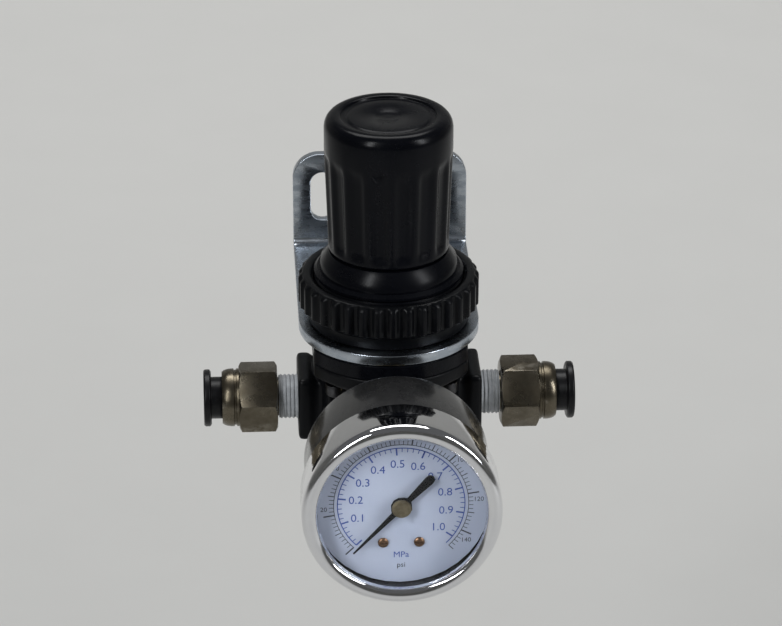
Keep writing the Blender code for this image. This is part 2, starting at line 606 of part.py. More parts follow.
def make_movement(gauge):
    """Movement plates, pillars, sector gear, hairspring, Bourdon tube and its link."""
    corners = [(-7.5, -15.0), (7.5, -15.0), (7.5, 5.5), (-7.5, 5.5)]
    pillar_spots = [(-5.8, 3.6), (5.8, 3.6)]
    pivot = (0.0, -GEAR_CENTRES)
    holes = [circle(1.0, 12), circle(1.0, 12, pivot)]
    screw_holes = [circle(0.9, 10, (sign * DIAL_SCREW_X, DIAL_SCREW_Y)) for sign in (-1, 1)]
    plate("movement_back_plate", [corners] + holes, 39.2, 40.0, BRASS, gauge)
    plate("movement_front_plate", [corners] + holes + screw_holes, 46.0, 46.8, BRASS, gauge)
    for side, (x, y) in zip(("left", "right"), pillar_spots):
        turned(f"movement_pillar_{side}", [(0, 40.2), (1.2, 40.2), (1.2, 45.8), (0, 45.8)],
               BRASS, gauge, 12, (x, y, 0))
    plate("sector_gear", sector_outline(), 42.5, 44.4, BRASS, gauge, (*pivot, 0))
    turned("sector_arbor", [(0, 38.9), (0.7, 38.9), (0.7, 46.6), (0, 46.6)], STEEL, gauge, 12,
           (*pivot, 0))

    flat = [(-0.7, -2.4), (0.7, -2.4), (0.7, 2.4), (-0.7, 2.4)]
    frames = []
    for step in range(21):
        angle = math.radians(-95 - 225 * step / 20)
        outwards = Vector((math.cos(angle), math.sin(angle), 0.0))
        frames.append((outwards * 15.0 + Vector((0, 0, 34.2)), outwards, Vector((0, 0, 1))))
    swept("bourdon_tube", frames, flat, BRASS, gauge)

    strip = [(-0.08, -0.3), (0.08, -0.3), (0.08, 0.3), (-0.08, 0.3)]
    spiral = []
    for step in range(31):
        angle = math.tau * 2.5 * step / 30
        outwards = Vector((math.cos(angle), math.sin(angle), 0.0))
        spiral.append((outwards * (1.4 + 2.2 * step / 30) + Vector((0, 0, 41.0)), outwards,
                       Vector((0, 0, 1))))
    swept("hairspring", spiral, strip, STEEL, gauge)

    ends = [Vector((10.6, 9.0)), Vector((9.2, 8.0))]
    along = (ends[1] - ends[0]).normalized()
    across = Vector((-along.y, along.x)) * 0.9
    bar = [ends[0] - across, ends[0] + across, ends[1] + across, ends[1] - across]
    plate("bourdon_tip_link", [[tuple(point) for point in bar]], 37.0, 41.8, BRASS, gauge)


# ---------------------------------------------------------------- push-in fittings

def make_fitting(side, port):
    """One straight push-in fitting: body, thread seal, O-ring, grab ring and release collar."""
    def flats(angle):
        return polygon_radius(7.0, 6, angle)

    stacked(f"fitting_body_{side}", [
        (2.9, 12.0), (4.1, 12.0), (4.35, 12.5), (4.35, HEX_START), (6.7, HEX_START),
        (flats, HEX_START + 0.6), (flats, HEX_END - 0.6), (6.8, HEX_END), (6.5, HEX_END + 0.4),
        (6.5, 34.8), (6.3, 36.0), (5.95, FITTING_END), (5.4, FITTING_END), (5.4, 26.6),
        (2.9, 26.6)], MIDDLE, NICKEL_BRASS, port)
    turned(f"thread_seal_{side}", [(4.6, 13.0), (4.95, 13.0), (4.95, HEX_START - 0.3),
                                   (4.6, HEX_START - 0.3)], SEALANT, port, SMALL)
    seal_ring(f"tube_seal_{side}", 4.75, 0.5, 28.2, RUBBER, port)
    turned(f"grab_ring_{side}", [(4.25, 29.6), (5.2, 30.2), (5.2, 30.7), (4.25, 30.1)],
           STEEL, port, SMALL)
    turned(f"release_collar_{side}", [
        (TUBE_RADIUS, 33.0), (4.7, 33.0), (4.7, COLLAR_FLANGE), (6.0, COLLAR_FLANGE),
        (6.4, COLLAR_FLANGE + 0.4), (6.4, COLLAR_END - 0.4), (6.1, COLLAR_END),
        (4.6, COLLAR_END), (TUBE_RADIUS, COLLAR_END - 0.5)], BLACK_PLASTIC, port, MIDDLE)


def main():
    clear_scene()
    quarter = math.radians(90)
    stack = axis_frame("upright_axis", (0.0, -WALL_TO_AXIS, -WALL_CENTRE_HEIGHT))
    gauge = axis_frame("gauge_axis", (0.0, 0.0, 0.0), (quarter, 0.0, 0.0), stack)
    rear = axis_frame("rear_port_axis", (0.0, 0.0, 0.0), (quarter, 0.0, 2 * quarter), stack)
    right = axis_frame("right_port_axis", (0.0, 0.0, 0.0), (0.0, quarter, 0.0), stack)
    left = axis_frame("left_port_axis", (0.0, 0.0, 0.0), (0.0, quarter, 2 * quarter), stack)
    bpy.context.view_layer.update()
    make_body(stack, gauge, rear, left, right)
    make_bonnet(stack)
    make_bonnet_screws(stack)
    make_bracket(stack)
    make_panel_nut(stack)
    make_knob(stack)
    make_adjusting_train(stack)
    make_diaphragm(stack)
    make_valve(stack)
    make_rear_plug(rear)
    make_gauge_case(gauge)
    make_dial(gauge)
    make_pointer(gauge)
    make_movement(gauge)
    make_fitting("left", left)
    make_fitting("right", right)


main()
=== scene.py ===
"""Looks of a compact air pressure regulator with its gauge, wall bracket and tube fittings.

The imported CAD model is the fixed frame. Every outer piece is modelled again around it with rounded
edges, grips, threads and print, and every piece, new or carried over, gets its own finish. Sizes
in the classes are in millimetres, measured along the axis that each piece stands on.
"""

import logging
import math
from collections.abc import Callable, Iterator
from contextlib import contextmanager
from dataclasses import dataclass, field
from enum import Enum

import bmesh
import bpy
from mathutils import Matrix, Vector


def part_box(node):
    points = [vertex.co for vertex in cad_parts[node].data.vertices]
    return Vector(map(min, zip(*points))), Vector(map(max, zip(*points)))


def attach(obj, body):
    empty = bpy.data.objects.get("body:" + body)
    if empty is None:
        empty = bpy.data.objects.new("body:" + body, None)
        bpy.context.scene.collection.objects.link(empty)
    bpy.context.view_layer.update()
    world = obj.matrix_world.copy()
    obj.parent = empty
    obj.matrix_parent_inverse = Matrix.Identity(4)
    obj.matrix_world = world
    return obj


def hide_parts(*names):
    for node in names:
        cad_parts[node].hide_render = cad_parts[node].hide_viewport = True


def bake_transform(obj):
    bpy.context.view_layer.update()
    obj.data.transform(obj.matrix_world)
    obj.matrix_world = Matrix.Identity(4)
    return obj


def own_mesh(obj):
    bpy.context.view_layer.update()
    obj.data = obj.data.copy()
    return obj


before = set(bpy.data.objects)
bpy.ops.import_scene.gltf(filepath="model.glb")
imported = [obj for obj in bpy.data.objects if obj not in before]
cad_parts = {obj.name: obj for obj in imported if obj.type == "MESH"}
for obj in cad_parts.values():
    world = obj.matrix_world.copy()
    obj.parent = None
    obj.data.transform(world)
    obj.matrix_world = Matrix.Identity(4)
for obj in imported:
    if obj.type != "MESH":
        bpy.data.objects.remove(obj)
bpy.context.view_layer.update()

LOG = logging.getLogger("regulator")
MM = 0.001
QUARTER = math.radians(90)
ROUND = 96
COAT_ROUGHNESS = 0.12
DUST_COLOUR = (0.42, 0.41, 0.39, 1.0)
DUST_ROUGHNESS = 0.85
RELIEF_STRENGTH = 0.6

Colour = tuple[float, float, float]
Outline = list[tuple[float, float]]
Piece = bpy.types.Object


# ---------------------------------------------------------------- places and options

class Ends(Enum):
    """How a turned shape is closed at the ends of its outline."""

    CAPPED = "capped"
    BORED = "bored"


class Side(Enum):
    """Which end of the regulator a fitting is on."""

    LEFT = "left"
    RIGHT = "right"


class Cut(Enum):
    """What a tool shape does to a piece."""

    JOIN = "UNION"
    CARVE = "DIFFERENCE"
    KEEP_COMMON = "INTERSECT"


def box_centre(node: str) -> Vector:
    """Centre of a CAD node's box at rest, in metres."""
    low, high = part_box(node)
    return (low + high) / 2


def regulator_centre() -> Vector:
    """Point where the upright axis, the port axis and the gauge axis meet."""
    upright = box_centre("bonnet")
    return Vector((upright.x, upright.y, box_centre("gauge_bezel").z))


class Axis(Enum):
    """Axes through the regulator's centre, each given by how a piece built on +Z is turned."""

    UPRIGHT = (0.0, 0.0, 0.0)
    FRONT = (QUARTER, 0.0, 0.0)
    REAR = (QUARTER, 0.0, 2 * QUARTER)
    RIGHT = (0.0, QUARTER, 0.0)
    LEFT = (0.0, QUARTER, 2 * QUARTER)

    def matrix(self) -> Matrix:
        """Turn and place of this axis in the row frame."""
        turn = (Matrix.Rotation(self.value[2], 4, "Z") @ Matrix.Rotation(self.value[1], 4, "Y")
                @ Matrix.Rotation(self.value[0], 4, "X"))
        return Matrix.Translation(regulator_centre()) @ turn


# ---------------------------------------------------------------- modelling steps

def clear_selection() -> None:
    """Leave edit mode and deselect everything."""
    if bpy.context.mode != "OBJECT":
        bpy.ops.object.mode_set(mode="OBJECT")
    bpy.ops.object.select_all(action="DESELECT")


def select_only(piece: Piece) -> None:
    """Make one piece the only selected one, and the active one."""
    clear_selection()
    piece.select_set(True)
    bpy.context.view_layer.objects.active = piece


@contextmanager
def editing(piece: Piece) -> Iterator[None]:
    """Edit mode on one piece, with everything in it selected at the start.

    Args:
        piece: Mesh to edit.
    """
    select_only(piece)
    bpy.ops.object.mode_set(mode="EDIT")
    bpy.ops.mesh.select_mode(type="VERT")
    bpy.ops.mesh.select_all(action="SELECT")
    yield
    bpy.ops.object.mode_set(mode="OBJECT")


def pick(piece: Piece, rule: Callable[[Vector], bool]) -> None:
    """Select, in edit mode, the vertices whose place meets a rule, and nothing else.

    Args:
        piece: Mesh in edit mode.
        rule: Says whether a place in metres is wanted.
    """
    mesh = bmesh.from_edit_mesh(piece.data)
    for vert in mesh.verts:
        vert.select_set(rule(vert.co))
    mesh.select_flush(True)
    bmesh.update_edit_mesh(piece.data)


def pick_faces(piece: Piece, rule: Callable[[Vector], bool]) -> None:
    """Select, in edit mode, the faces whose corners all meet a rule, and nothing else.

    Args:
        piece: Mesh in edit mode.
        rule: Says whether a place in metres is wanted.
    """
    bpy.ops.mesh.select_mode(type="FACE")
    mesh = bmesh.from_edit_mesh(piece.data)
    for face in mesh.faces:
        face.select_set(all(rule(vert.co) for vert in face.verts))
    bmesh.update_edit_mesh(piece.data)


def apply_place(piece: Piece) -> None:
    """Put a piece's place, turn and size into its mesh."""
    select_only(piece)
    bpy.ops.object.transform_apply(location=True, rotation=True, scale=True)


def turned(name: str, outline: Outline, ends: Ends = Ends.CAPPED, steps: int = ROUND) -> Piece:
    """Raise a circle ring by ring along a half outline round local Z.

    Args:
        name: Name of the piece.
        outline: Rings as (radius, height) in millimetres, none of them on the axis.
        ends: Whether the first and last rings are capped, or joined into a bored ring.
        steps: Facets round the axis.

    Returns:
        The new piece, with its mesh round the origin.
    """
    clear_selection()
    radius, height = outline[0]
    bpy.ops.mesh.primitive_circle_add(vertices=steps, radius=radius * MM,
                                      location=(0.0, 0.0, height * MM))
    piece = bpy.context.object
    piece.name = name
    apply_place(piece)
    with editing(piece):
        for next_radius, next_height in outline[1:]:
            rise = (next_height - height) * MM
            bpy.ops.mesh.extrude_region_move(TRANSFORM_OT_translate={"value": (0.0, 0.0, rise)})
            grow = next_radius / radius
            bpy.ops.transform.resize(value=(grow, grow, 1.0), center_override=(0.0, 0.0, 0.0))
            radius, height = next_radius, next_height
        if ends is Ends.CAPPED:
            bpy.ops.mesh.select_all(action="SELECT")
            bpy.ops.mesh.fill_holes(sides=0)
        else:
            bpy.ops.mesh.select_mode(type="EDGE")
            bpy.ops.mesh.select_all(action="DESELECT")
            bpy.ops.mesh.select_non_manifold(extend=False, use_wire=False, use_boundary=True,
                                             use_multi_face=False, use_non_contiguous=False,
                                             use_verts=False)
            bpy.ops.mesh.bridge_edge_loops()
    tidy_mesh(piece)
    return piece


def tidy_mesh(piece: Piece) -> None:
    """Merge doubles and turn all faces outwards."""
    with editing(piece):
        bpy.ops.mesh.remove_doubles(threshold=1e-7)
        bpy.ops.mesh.normals_make_consistent(inside=False)


def ridges(ridge: Outline, start: float, stop: float, pitch: float) -> Outline:
    """One ridge of a thread repeated upwards.

    Args:
        ridge: Rings of the ridge as (radius, rise above its foot) in millimetres.
        start: Height of the first ridge.
        stop: Height that no ridge starts above.
        pitch: Distance between two ridges.

    Returns:
        Rings of all the ridges.
    """
    outline = []
    height = start
    while height < stop:
        outline += [(radius, height + rise) for radius, rise in ridge]
        height += pitch
    return outline


def ring_places(circle: float, count: int, first: float = 0.0) -> Iterator[Vector]:
    """Places in metres round a circle.

    Args:
        circle: Radius of the circle, in millimetres.
        count: How many places there are.
        first: Angle of the first place, in degrees.

    Yields:
        One place after another.
    """
    for number in range(count):
        angle = math.radians(first) + math.tau * number / count
        yield Vector((circle * math.cos(angle) * MM, circle * math.sin(angle) * MM, 0.0))


def prism(name: str, radius: float, low: float, high: float, sides: int = ROUND,
          stretch: tuple[float, float] = (0.0, 0.0)) -> Piece:
    """A straight bar on local Z, round or with flats, which may be stretched sideways to a slot.

    Args:
        name: Name of the piece.
        radius: Radius over the corners, in millimetres.
        low: Height of its lower end.
        high: Height of its upper end.
        sides: Sides round it.
        stretch: How far the half that lies towards it is moved, in X and Y.

    Returns:
        The new piece.
    """
    clear_selection()
    bpy.ops.mesh.primitive_cylinder_add(
        vertices=sides, radius=radius * MM, depth=(high - low) * MM,
        location=(0.0, 0.0, (low + high) / 2 * MM), rotation=(0.0, 0.0, math.pi / sides))
    piece = bpy.context.object
    piece.name = name
    apply_place(piece)
    reach = Vector((*stretch, 0.0))
    if reach.length > 0:
        with editing(piece):
            pick(piece, lambda place: place.dot(reach) > 0)
            bpy.ops.transform.translate(value=reach * MM)
    return piece


def block(name: str, low: tuple[float, float, float], high: tuple[float, float, float]) -> Piece:
    """A squared block between two corners in millimetres."""
    clear_selection()
    corners = Vector(low) * MM, Vector(high) * MM
    bpy.ops.mesh.primitive_cube_add(size=1.0, location=(corners[0] + corners[1]) / 2,
                                    scale=corners[1] - corners[0])
    piece = bpy.context.object
    piece.name = name
    apply_place(piece)
    return piece


def use_modifier(piece: Piece, kind: str, **settings: object) -> None:
    """Add one modifier with its settings and apply it.

    Args:
        piece: Piece to change.
        kind: Blender's name for the modifier type.
        **settings: Values of the modifier's properties.
    """
    select_only(piece)
    modifier = piece.modifiers.new(kind.lower(), kind)
    for key, value in settings.items():
        setattr(modifier, key, value)
    bpy.ops.object.modifier_apply(modifier=modifier.name)


def shape_with(piece: Piece, cut: Cut, *tools: Piece) -> None:
    """Join, carve or intersect a piece with tool shapes, which are used up."""
    for tool in tools:
        use_modifier(piece, "BOOLEAN", operation=cut.value, solver="EXACT", object=tool)
        bpy.data.objects.remove(tool, do_unlink=True)


def soften(piece: Piece, width: float, segments: int = 3, angle: float = 30.0) -> None:
    """Round every edge that is sharper than an angle in degrees, by a width in millimetres."""
    use_modifier(piece, "BEVEL", width=width * MM, segments=segments, limit_method="ANGLE",
                 angle_limit=math.radians(angle), miter_outer="MITER_ARC", use_clamp_overlap=True)


def press_grips(piece: Piece, count: int, steps: int, depths: dict[float, float],
                shares: tuple[float, ...], floor: float) -> None:
    """Press evenly spaced flutes into the outer wall of a turned piece.

    Args:
        piece: Turned piece round local Z, before its edges are rounded.
        count: Flutes round the piece.
        steps: Facets round the piece, a multiple of twice the count.
        depths: Depth of the flutes at each ring height, in millimetres.
        shares: Share of the depth at each facet from a ridge to the middle of a flute.
        floor: Smallest radius that belongs to the outer wall.
    """
    period = steps // count
    with editing(piece):
        for height, depth in depths.items():
            for index, share in enumerate(shares):
                if depth * share == 0:
                    continue

                def wanted(place: Vector) -> bool:
                    turn = round(math.atan2(place.y, place.x) / math.tau * steps) % period
                    return (abs(place.z / MM - height) < 0.02 and min(turn, period - turn) == index
                            and math.hypot(place.x, place.y) > floor * MM)

                pick(piece, wanted)
                places = [vert.co for vert in bmesh.from_edit_mesh(piece.data).verts if vert.select]
                radius = math.hypot(places[0].x, places[0].y) / MM
                shrink = (radius - depth * share) / radius
                bpy.ops.transform.resize(value=(shrink, shrink, 1.0),
                                         center_override=(0.0, 0.0, 0.0))


def stand(piece: Piece, axis: Axis, sharp: float = 35.0) -> Piece:
    """Smooth a piece's faces by angle and put it on its axis, with the place in its mesh."""
    select_only(piece)
    bpy.ops.object.shade_smooth_by_angle(angle=math.radians(sharp))
    piece.matrix_world = axis.matrix()
    apply_place(piece)
    return piece


def twin_of(piece: Piece, name: str) -> Piece:
    """A copy of a piece with its own mesh."""
    twin = piece.copy()
    twin.data = piece.data.copy()
    twin.name = name
    bpy.context.scene.collection.objects.link(twin)
    return twin


def gather(pieces: list[Piece], name: str) -> Piece:
    """Join several pieces into one with a name."""
    clear_selection()
    for piece in pieces:
        piece.select_set(True)
    bpy.context.view_layer.objects.active = pieces[0]
    bpy.ops.object.join()
    pieces[0].name = name
    return pieces[0]


def hexagon(name: str, flats: float, low: float, high: float, turn: float = 0.0,
            chamfer: float = 0.6) -> Piece:
    """A hexagon with turned corners at both ends.

    Args:
        name: Name of the piece.
        flats: Width across flats, in millimetres.
        low: Height of its lower end.
        high: Height of its upper end.
        turn: How far it is turned, in degrees.
        chamfer: Height of the turned corners.

    Returns:
        The new piece.
    """
    corner = flats / math.sqrt(3)
    bar = prism(name, corner, low, high, sides=6)
    bar.data.transform(Matrix.Rotation(math.radians(turn), 4, "Z"))
    cone = turned("cone", [(flats / 2 - 0.1, low), (corner + 0.05, low + chamfer),
                           (corner + 0.05, high - chamfer), (flats / 2 - 0.1, high)])
    shape_with(bar, Cut.KEEP_COMMON, cone)
    return bar


# ---------------------------------------------------------------- surface effects

def add_node(tree: bpy.types.NodeTree, kind: str, inputs: dict[str | int, object] | None = None,
             **settings: object) -> bpy.types.Node:
    """Add a node, set its properties, and set or link its inputs.

    Args:
        tree: Tree that the node goes into.
        kind: Blender's type name, without the leading ShaderNode.
        inputs: Value, or socket to link from, for each input name or number.
        **settings: Values of the node's properties.

    Returns:
        The new node.
    """
    made = tree.nodes.new(f"ShaderNode{kind}")
    for key, value in settings.items():
        setattr(made, key, value)
    for key, value in (inputs or {}).items():
        if isinstance(value, bpy.types.NodeSocket):
            tree.links.new(value, made.inputs[key])
        else:
            made.inputs[key].default_value = value
    return made


class Effects:
    """Surface effects that the finishes share, each one a node group that is built once."""

    def __init__(self) -> None:
        """Build every group."""
        self.cloud = self._cloud()
        self.grain = self._grain()
        self.marks = self._marks()
        self.wear = self._wear()
        self.dust = self._dust()

    @staticmethod
    def _group(name: str, inputs: dict[str, float | None], output: str
               ) -> tuple[bpy.types.NodeTree, bpy.types.Node, bpy.types.Node]:
        """Start a group.

        Args:
            name: Name of the group.
            inputs: Default of each number input, or None for a vector input.
            output: Name of the one output, a number.

        Returns:
            The tree, its input node and its output node.
        """
        tree = bpy.data.node_groups.new(name, "ShaderNodeTree")
        for key, value in inputs.items():
            kind = "NodeSocketVector" if value is None else "NodeSocketFloat"
            socket = tree.interface.new_socket(key, in_out="INPUT", socket_type=kind)
            if value is not None:
                socket.default_value = value
        tree.interface.new_socket(output, in_out="OUTPUT", socket_type="NodeSocketFloat")
        return tree, tree.nodes.new("NodeGroupInput"), tree.nodes.new("NodeGroupOutput")

    def _cloud(self) -> bpy.types.NodeTree:
        """Soft patches with finer ones in them, from 0 to 1."""
        tree, given, result = self._group(
            "soft_patches", {"Position": None, "Scale": 120.0, "Streak": 1.0}, "Patches")
        split = add_node(tree, "SeparateXYZ", {0: given.outputs["Position"]})
        drawn = add_node(tree, "Math", {0: split.outputs["Z"], 1: given.outputs["Streak"]},
                         operation="DIVIDE")
        joined = add_node(tree, "CombineXYZ", {"X": split.outputs["X"], "Y": split.outputs["Y"],
                                               "Z": drawn.outputs[0]})
        broad = add_node(tree, "TexNoise", {"Vector": joined.outputs[0],
                                            "Scale": given.outputs["Scale"], "Detail": 5.0,
                                            "Roughness": 0.6})
        ramp = add_node(tree, "MapRange", {"Value": broad.outputs[0], "From Min": 0.32,
                                           "From Max": 0.68}, interpolation_type="SMOOTHSTEP")
        tree.links.new(ramp.outputs[0], result.inputs["Patches"])
        return tree

    def _grain(self) -> bpy.types.NodeTree:
        """Fine pebbled height of a moulded or cast skin."""
        tree, given, result = self._group("skin_grain", {"Position": None, "Scale": 3000.0},
                                          "Height")
        cells = add_node(tree, "TexVoronoi", {"Vector": given.outputs["Position"],
                                              "Scale": given.outputs["Scale"]},
                         feature="SMOOTH_F1")
        noise = add_node(tree, "TexNoise", {"Vector": given.outputs["Position"],
                                            "Scale": given.outputs["Scale"], "Detail": 3.0})
        both = add_node(tree, "Math", {0: cells.outputs["Distance"], 1: noise.outputs[0]},
                        operation="ADD")
        tree.links.new(both.outputs[0], result.inputs["Height"])
        return tree

    def _marks(self) -> bpy.types.NodeTree:
        """Rings that a cutting tool leaves along an axis."""
        tree, given, result = self._group("turning_marks", {
            "Position": None, "Axis": None, "Spacing": 9000.0}, "Height")
        along = add_node(tree, "VectorMath", {0: given.outputs["Position"],
                                              1: given.outputs["Axis"]}, operation="DOT_PRODUCT")
        fine = add_node(tree, "TexNoise", {"W": along.outputs["Value"],
                                           "Scale": given.outputs["Spacing"], "Detail": 4.0,
                                           "Roughness": 0.7}, noise_dimensions="1D")
        tree.links.new(fine.outputs[0], result.inputs["Height"])
        return tree

    def _wear(self) -> bpy.types.NodeTree:
        """Mask of rubbed edges, broken up by patches."""
        tree, given, result = self._group("rubbed_edges", {"Position": None, "Amount": 1.0},
                                          "Mask")
        shape = add_node(tree, "NewGeometry")
        sharp = add_node(tree, "MapRange", {"Value": shape.outputs["Pointiness"],
                                            "From Min": 0.515, "From Max": 0.60})
        noise = add_node(tree, "TexNoise", {"Vector": given.outputs["Position"], "Scale": 700.0,
                                            "Detail": 6.0})
        broken = add_node(tree, "MapRange", {"Value": noise.outputs[0], "From Min": 0.35,
                                             "From Max": 0.62})
        both = add_node(tree, "Math", {0: sharp.outputs[0], 1: broken.outputs[0]},
                        operation="MULTIPLY")
        scaled = add_node(tree, "Math", {0: both.outputs[0], 1: given.outputs["Amount"]},
                          operation="MULTIPLY", use_clamp=True)
        tree.links.new(scaled.outputs[0], result.inputs["Mask"])
        return tree

    def _dust(self) -> bpy.types.NodeTree:
        """Mask of light dust on faces that look up."""
        tree, given, result = self._group("settled_dust", {"Position": None, "Amount": 0.1},
                                          "Mask")
        shape = add_node(tree, "NewGeometry")
        split = add_node(tree, "SeparateXYZ", {0: shape.outputs["Normal"]})
        upward = add_node(tree, "MapRange", {"Value": split.outputs["Z"], "From Min": 0.35,
                                             "From Max": 1.0})
        noise = add_node(tree, "TexNoise", {"Vector": given.outputs["Position"], "Scale": 1400.0,
                                            "Detail": 8.0, "Roughness": 0.7})
        specks = add_node(tree, "MapRange", {"Value": noise.outputs[0], "From Min": 0.48,
                                             "From Max": 0.75})
        both = add_node(tree, "Math", {0: upward.outputs[0], 1: specks.outputs[0]},
                        operation="MULTIPLY")
        scaled = add_node(tree, "Math", {0: both.outputs[0], 1: given.outputs["Amount"]},
                          operation="MULTIPLY", use_clamp=True)
        tree.links.new(scaled.outputs[0], result.inputs["Mask"])
        return tree


# ---------------------------------------------------------------- finishes

@dataclass(frozen=True)
class Finish:
    """How a surface looks: its colours, gloss and the small relief in it.

    Attributes:
        name: Name of the material.
        colour: Main colour.
        patch: Colour that the soft patches lean towards.
        gloss: Roughness in the clean parts and in the patches.
        metallic: 1 for bare or plated metal.
        patch_scale: Patches in a metre.
        streak: How far the patches are drawn out along Z.
        grain: Grains in a metre, and their height in millimetres.
        marks: Axis of the turning marks, and their height in millimetres.
        edge: Colour that shows where edges are rubbed.
        rub: How much the edges are rubbed.
        dust: How much dust lies on it.
        coat: Weight of the clear film on top.
        specular: Level of the plain reflection, 0.5 for most plastics.
    """

    name: str
    colour: Colour
    patch: Colour
    gloss: tuple[float, float]
    metallic: float = 0.0
    patch_scale: float = 120.0
    streak: float = 1.0
    grain: tuple[float, float] = (2500.0, 0.01)
    marks: tuple[Colour, float] | None = None
    edge: Colour = (0.1, 0.1, 0.1)
    rub: float = 0.0
    dust: float = 0.0
    coat: float = 0.0
    specular: float = 0.5

    def make(self, effects: Effects) -> bpy.types.Material:
        """Build the material.

        Args:
            effects: Shared node groups.

        Returns:
            The new material.
        """
        material = bpy.data.materials.new(self.name)
        material.use_nodes = True
        tree = material.node_tree
        shader = tree.nodes["Principled BSDF"]
        shader.inputs["Metallic"].default_value = self.metallic
        shader.inputs["Specular IOR Level"].default_value = self.specular
        shader.inputs["Coat Weight"].default_value = self.coat
        shader.inputs["Coat Roughness"].default_value = COAT_ROUGHNESS
        place = add_node(tree, "TexCoord").outputs["Object"]
        patches = self._group(tree, effects.cloud, {
            "Position": place, "Scale": self.patch_scale, "Streak": self.streak})
        colour = self._mix(tree, patches, (*self.colour, 1.0), (*self.patch, 1.0))
        rough = add_node(tree, "MapRange", {"Value": patches, "To Min": self.gloss[0],
                                            "To Max": self.gloss[1]}).outputs[0]
        if self.rub > 0:
            mask = self._group(tree, effects.wear, {"Position": place, "Amount": self.rub})
            colour = self._mix(tree, mask, colour, (*self.edge, 1.0))
        if self.dust > 0:
            mask = self._group(tree, effects.dust, {"Position": place, "Amount": self.dust})
            colour = self._mix(tree, mask, colour, DUST_COLOUR)
            rough = add_node(tree, "MapRange", {"Value": mask, "To Min": rough,
                                                "To Max": DUST_ROUGHNESS}).outputs[0]
        tree.links.new(colour, shader.inputs["Base Color"])
        tree.links.new(rough, shader.inputs["Roughness"])
        tree.links.new(self._relief(tree, effects, place), shader.inputs["Normal"])
        return material

    @staticmethod
    def _group(tree: bpy.types.NodeTree, group: bpy.types.NodeTree,
               inputs: dict[str, object]) -> bpy.types.NodeSocket:
        """Put a shared group into a material and return its one output."""
        made = tree.nodes.new("ShaderNodeGroup")
        made.node_tree = group
        for key, value in inputs.items():
            if isinstance(value, bpy.types.NodeSocket):
                tree.links.new(value, made.inputs[key])
            else:
                made.inputs[key].default_value = value
        return made.outputs[0]

    @staticmethod
    def _mix(tree: bpy.types.NodeTree, mask: bpy.types.NodeSocket, first: object,
             second: object) -> bpy.types.NodeSocket:
        """Blend two colours by a mask and return the result."""
        made = add_node(tree, "Mix", {"Factor": mask, 6: first, 7: second}, data_type="RGBA")
        return made.outputs[2]

    def _relief(self, tree: bpy.types.NodeTree, effects: Effects,
                place: bpy.types.NodeSocket) -> bpy.types.NodeSocket:
        """Normal with the fine grain, and the turning marks where there are any."""
        scale, height = self.grain
        grain = self._group(tree, effects.grain, {"Position": place, "Scale": scale})
        bump = add_node(tree, "Bump", {"Height": grain, "Distance": height * MM,
                                       "Strength": RELIEF_STRENGTH})
        if self.marks is None:
            return bump.outputs[0]
        axis, height = self.marks
        rings = self._group(tree, effects.marks, {"Position": place, "Axis": axis})
        second = add_node(tree, "Bump", {"Height": rings, "Distance": height * MM,
                                         "Strength": RELIEF_STRENGTH,
                                         "Normal": bump.outputs[0]})
        return second.outputs[0]


@dataclass(frozen=True)
class ClearFinish(Finish):
    """A clear plastic or glass: the light goes through it and only its gloss shows."""

    index: float = 1.25

    def make(self, effects: Effects) -> bpy.types.Material:
        """Build the material.

        Args:
            effects: Shared node groups.

        Returns:
            The new material.
        """
        material = super().make(effects)
        shader = material.node_tree.nodes["Principled BSDF"]
        shader.inputs["Transmission Weight"].default_value = 1.0
        shader.inputs["IOR"].default_value = self.index
        return material


MOULDED_BLACK = Finish("moulded_black", (0.0022, 0.0026, 0.0042), (0.0034, 0.0038, 0.0058),
                       (0.20, 0.30), patch_scale=70.0, grain=(2600.0, 0.005),
                       edge=(0.012, 0.013, 0.017), rub=0.25, dust=0.006, specular=0.13)
KNURLED_BLACK = Finish("knurled_black", (0.0022, 0.0026, 0.0036), (0.0036, 0.0040, 0.0052),
                       (0.26, 0.38), patch_scale=90.0, grain=(2400.0, 0.007),
                       edge=(0.020, 0.021, 0.025), rub=0.6, dust=0.008, specular=0.14)
CAST_BLACK = Finish("cast_black", (0.0028, 0.0032, 0.0042), (0.0045, 0.0050, 0.0062),
                    (0.32, 0.46), patch_scale=110.0, grain=(1500.0, 0.020),
                    edge=(0.030, 0.031, 0.034), rub=0.5, dust=0.008, specular=0.15)
COLLAR_BLACK = Finish("collar_black", (0.0040, 0.0040, 0.0050), (0.0065, 0.0065, 0.0078),
                      (0.30, 0.40), patch_scale=160.0, grain=(2800.0, 0.006),
                      edge=(0.020, 0.020, 0.022), rub=0.4, specular=0.25)
CASE_BLACK = Finish("case_black", (0.012, 0.012, 0.0125), (0.020, 0.020, 0.0205), (0.20, 0.30),
                    patch_scale=60.0, grain=(1800.0, 0.006), edge=(0.12, 0.12, 0.12), rub=0.3,
                    dust=0.02, coat=0.5)
POINTER_BLACK = Finish("pointer_black", (0.0025, 0.0025, 0.003), (0.004, 0.004, 0.0045),
                       (0.45, 0.55), patch_scale=400.0, grain=(4000.0, 0.003), specular=0.2)
ZINC_PLATE = Finish("zinc_plate", (0.52, 0.56, 0.61), (0.40, 0.45, 0.51), (0.20, 0.34), 1.0,
                    patch_scale=220.0, streak=0.35, grain=(3200.0, 0.008),
                    edge=(0.80, 0.82, 0.84), rub=0.5, dust=0.02)
BRIGHT_CHROME = Finish("bright_chrome", (0.88, 0.88, 0.89), (0.82, 0.82, 0.84), (0.045, 0.10),
                       1.0, patch_scale=90.0, grain=(900.0, 0.002))
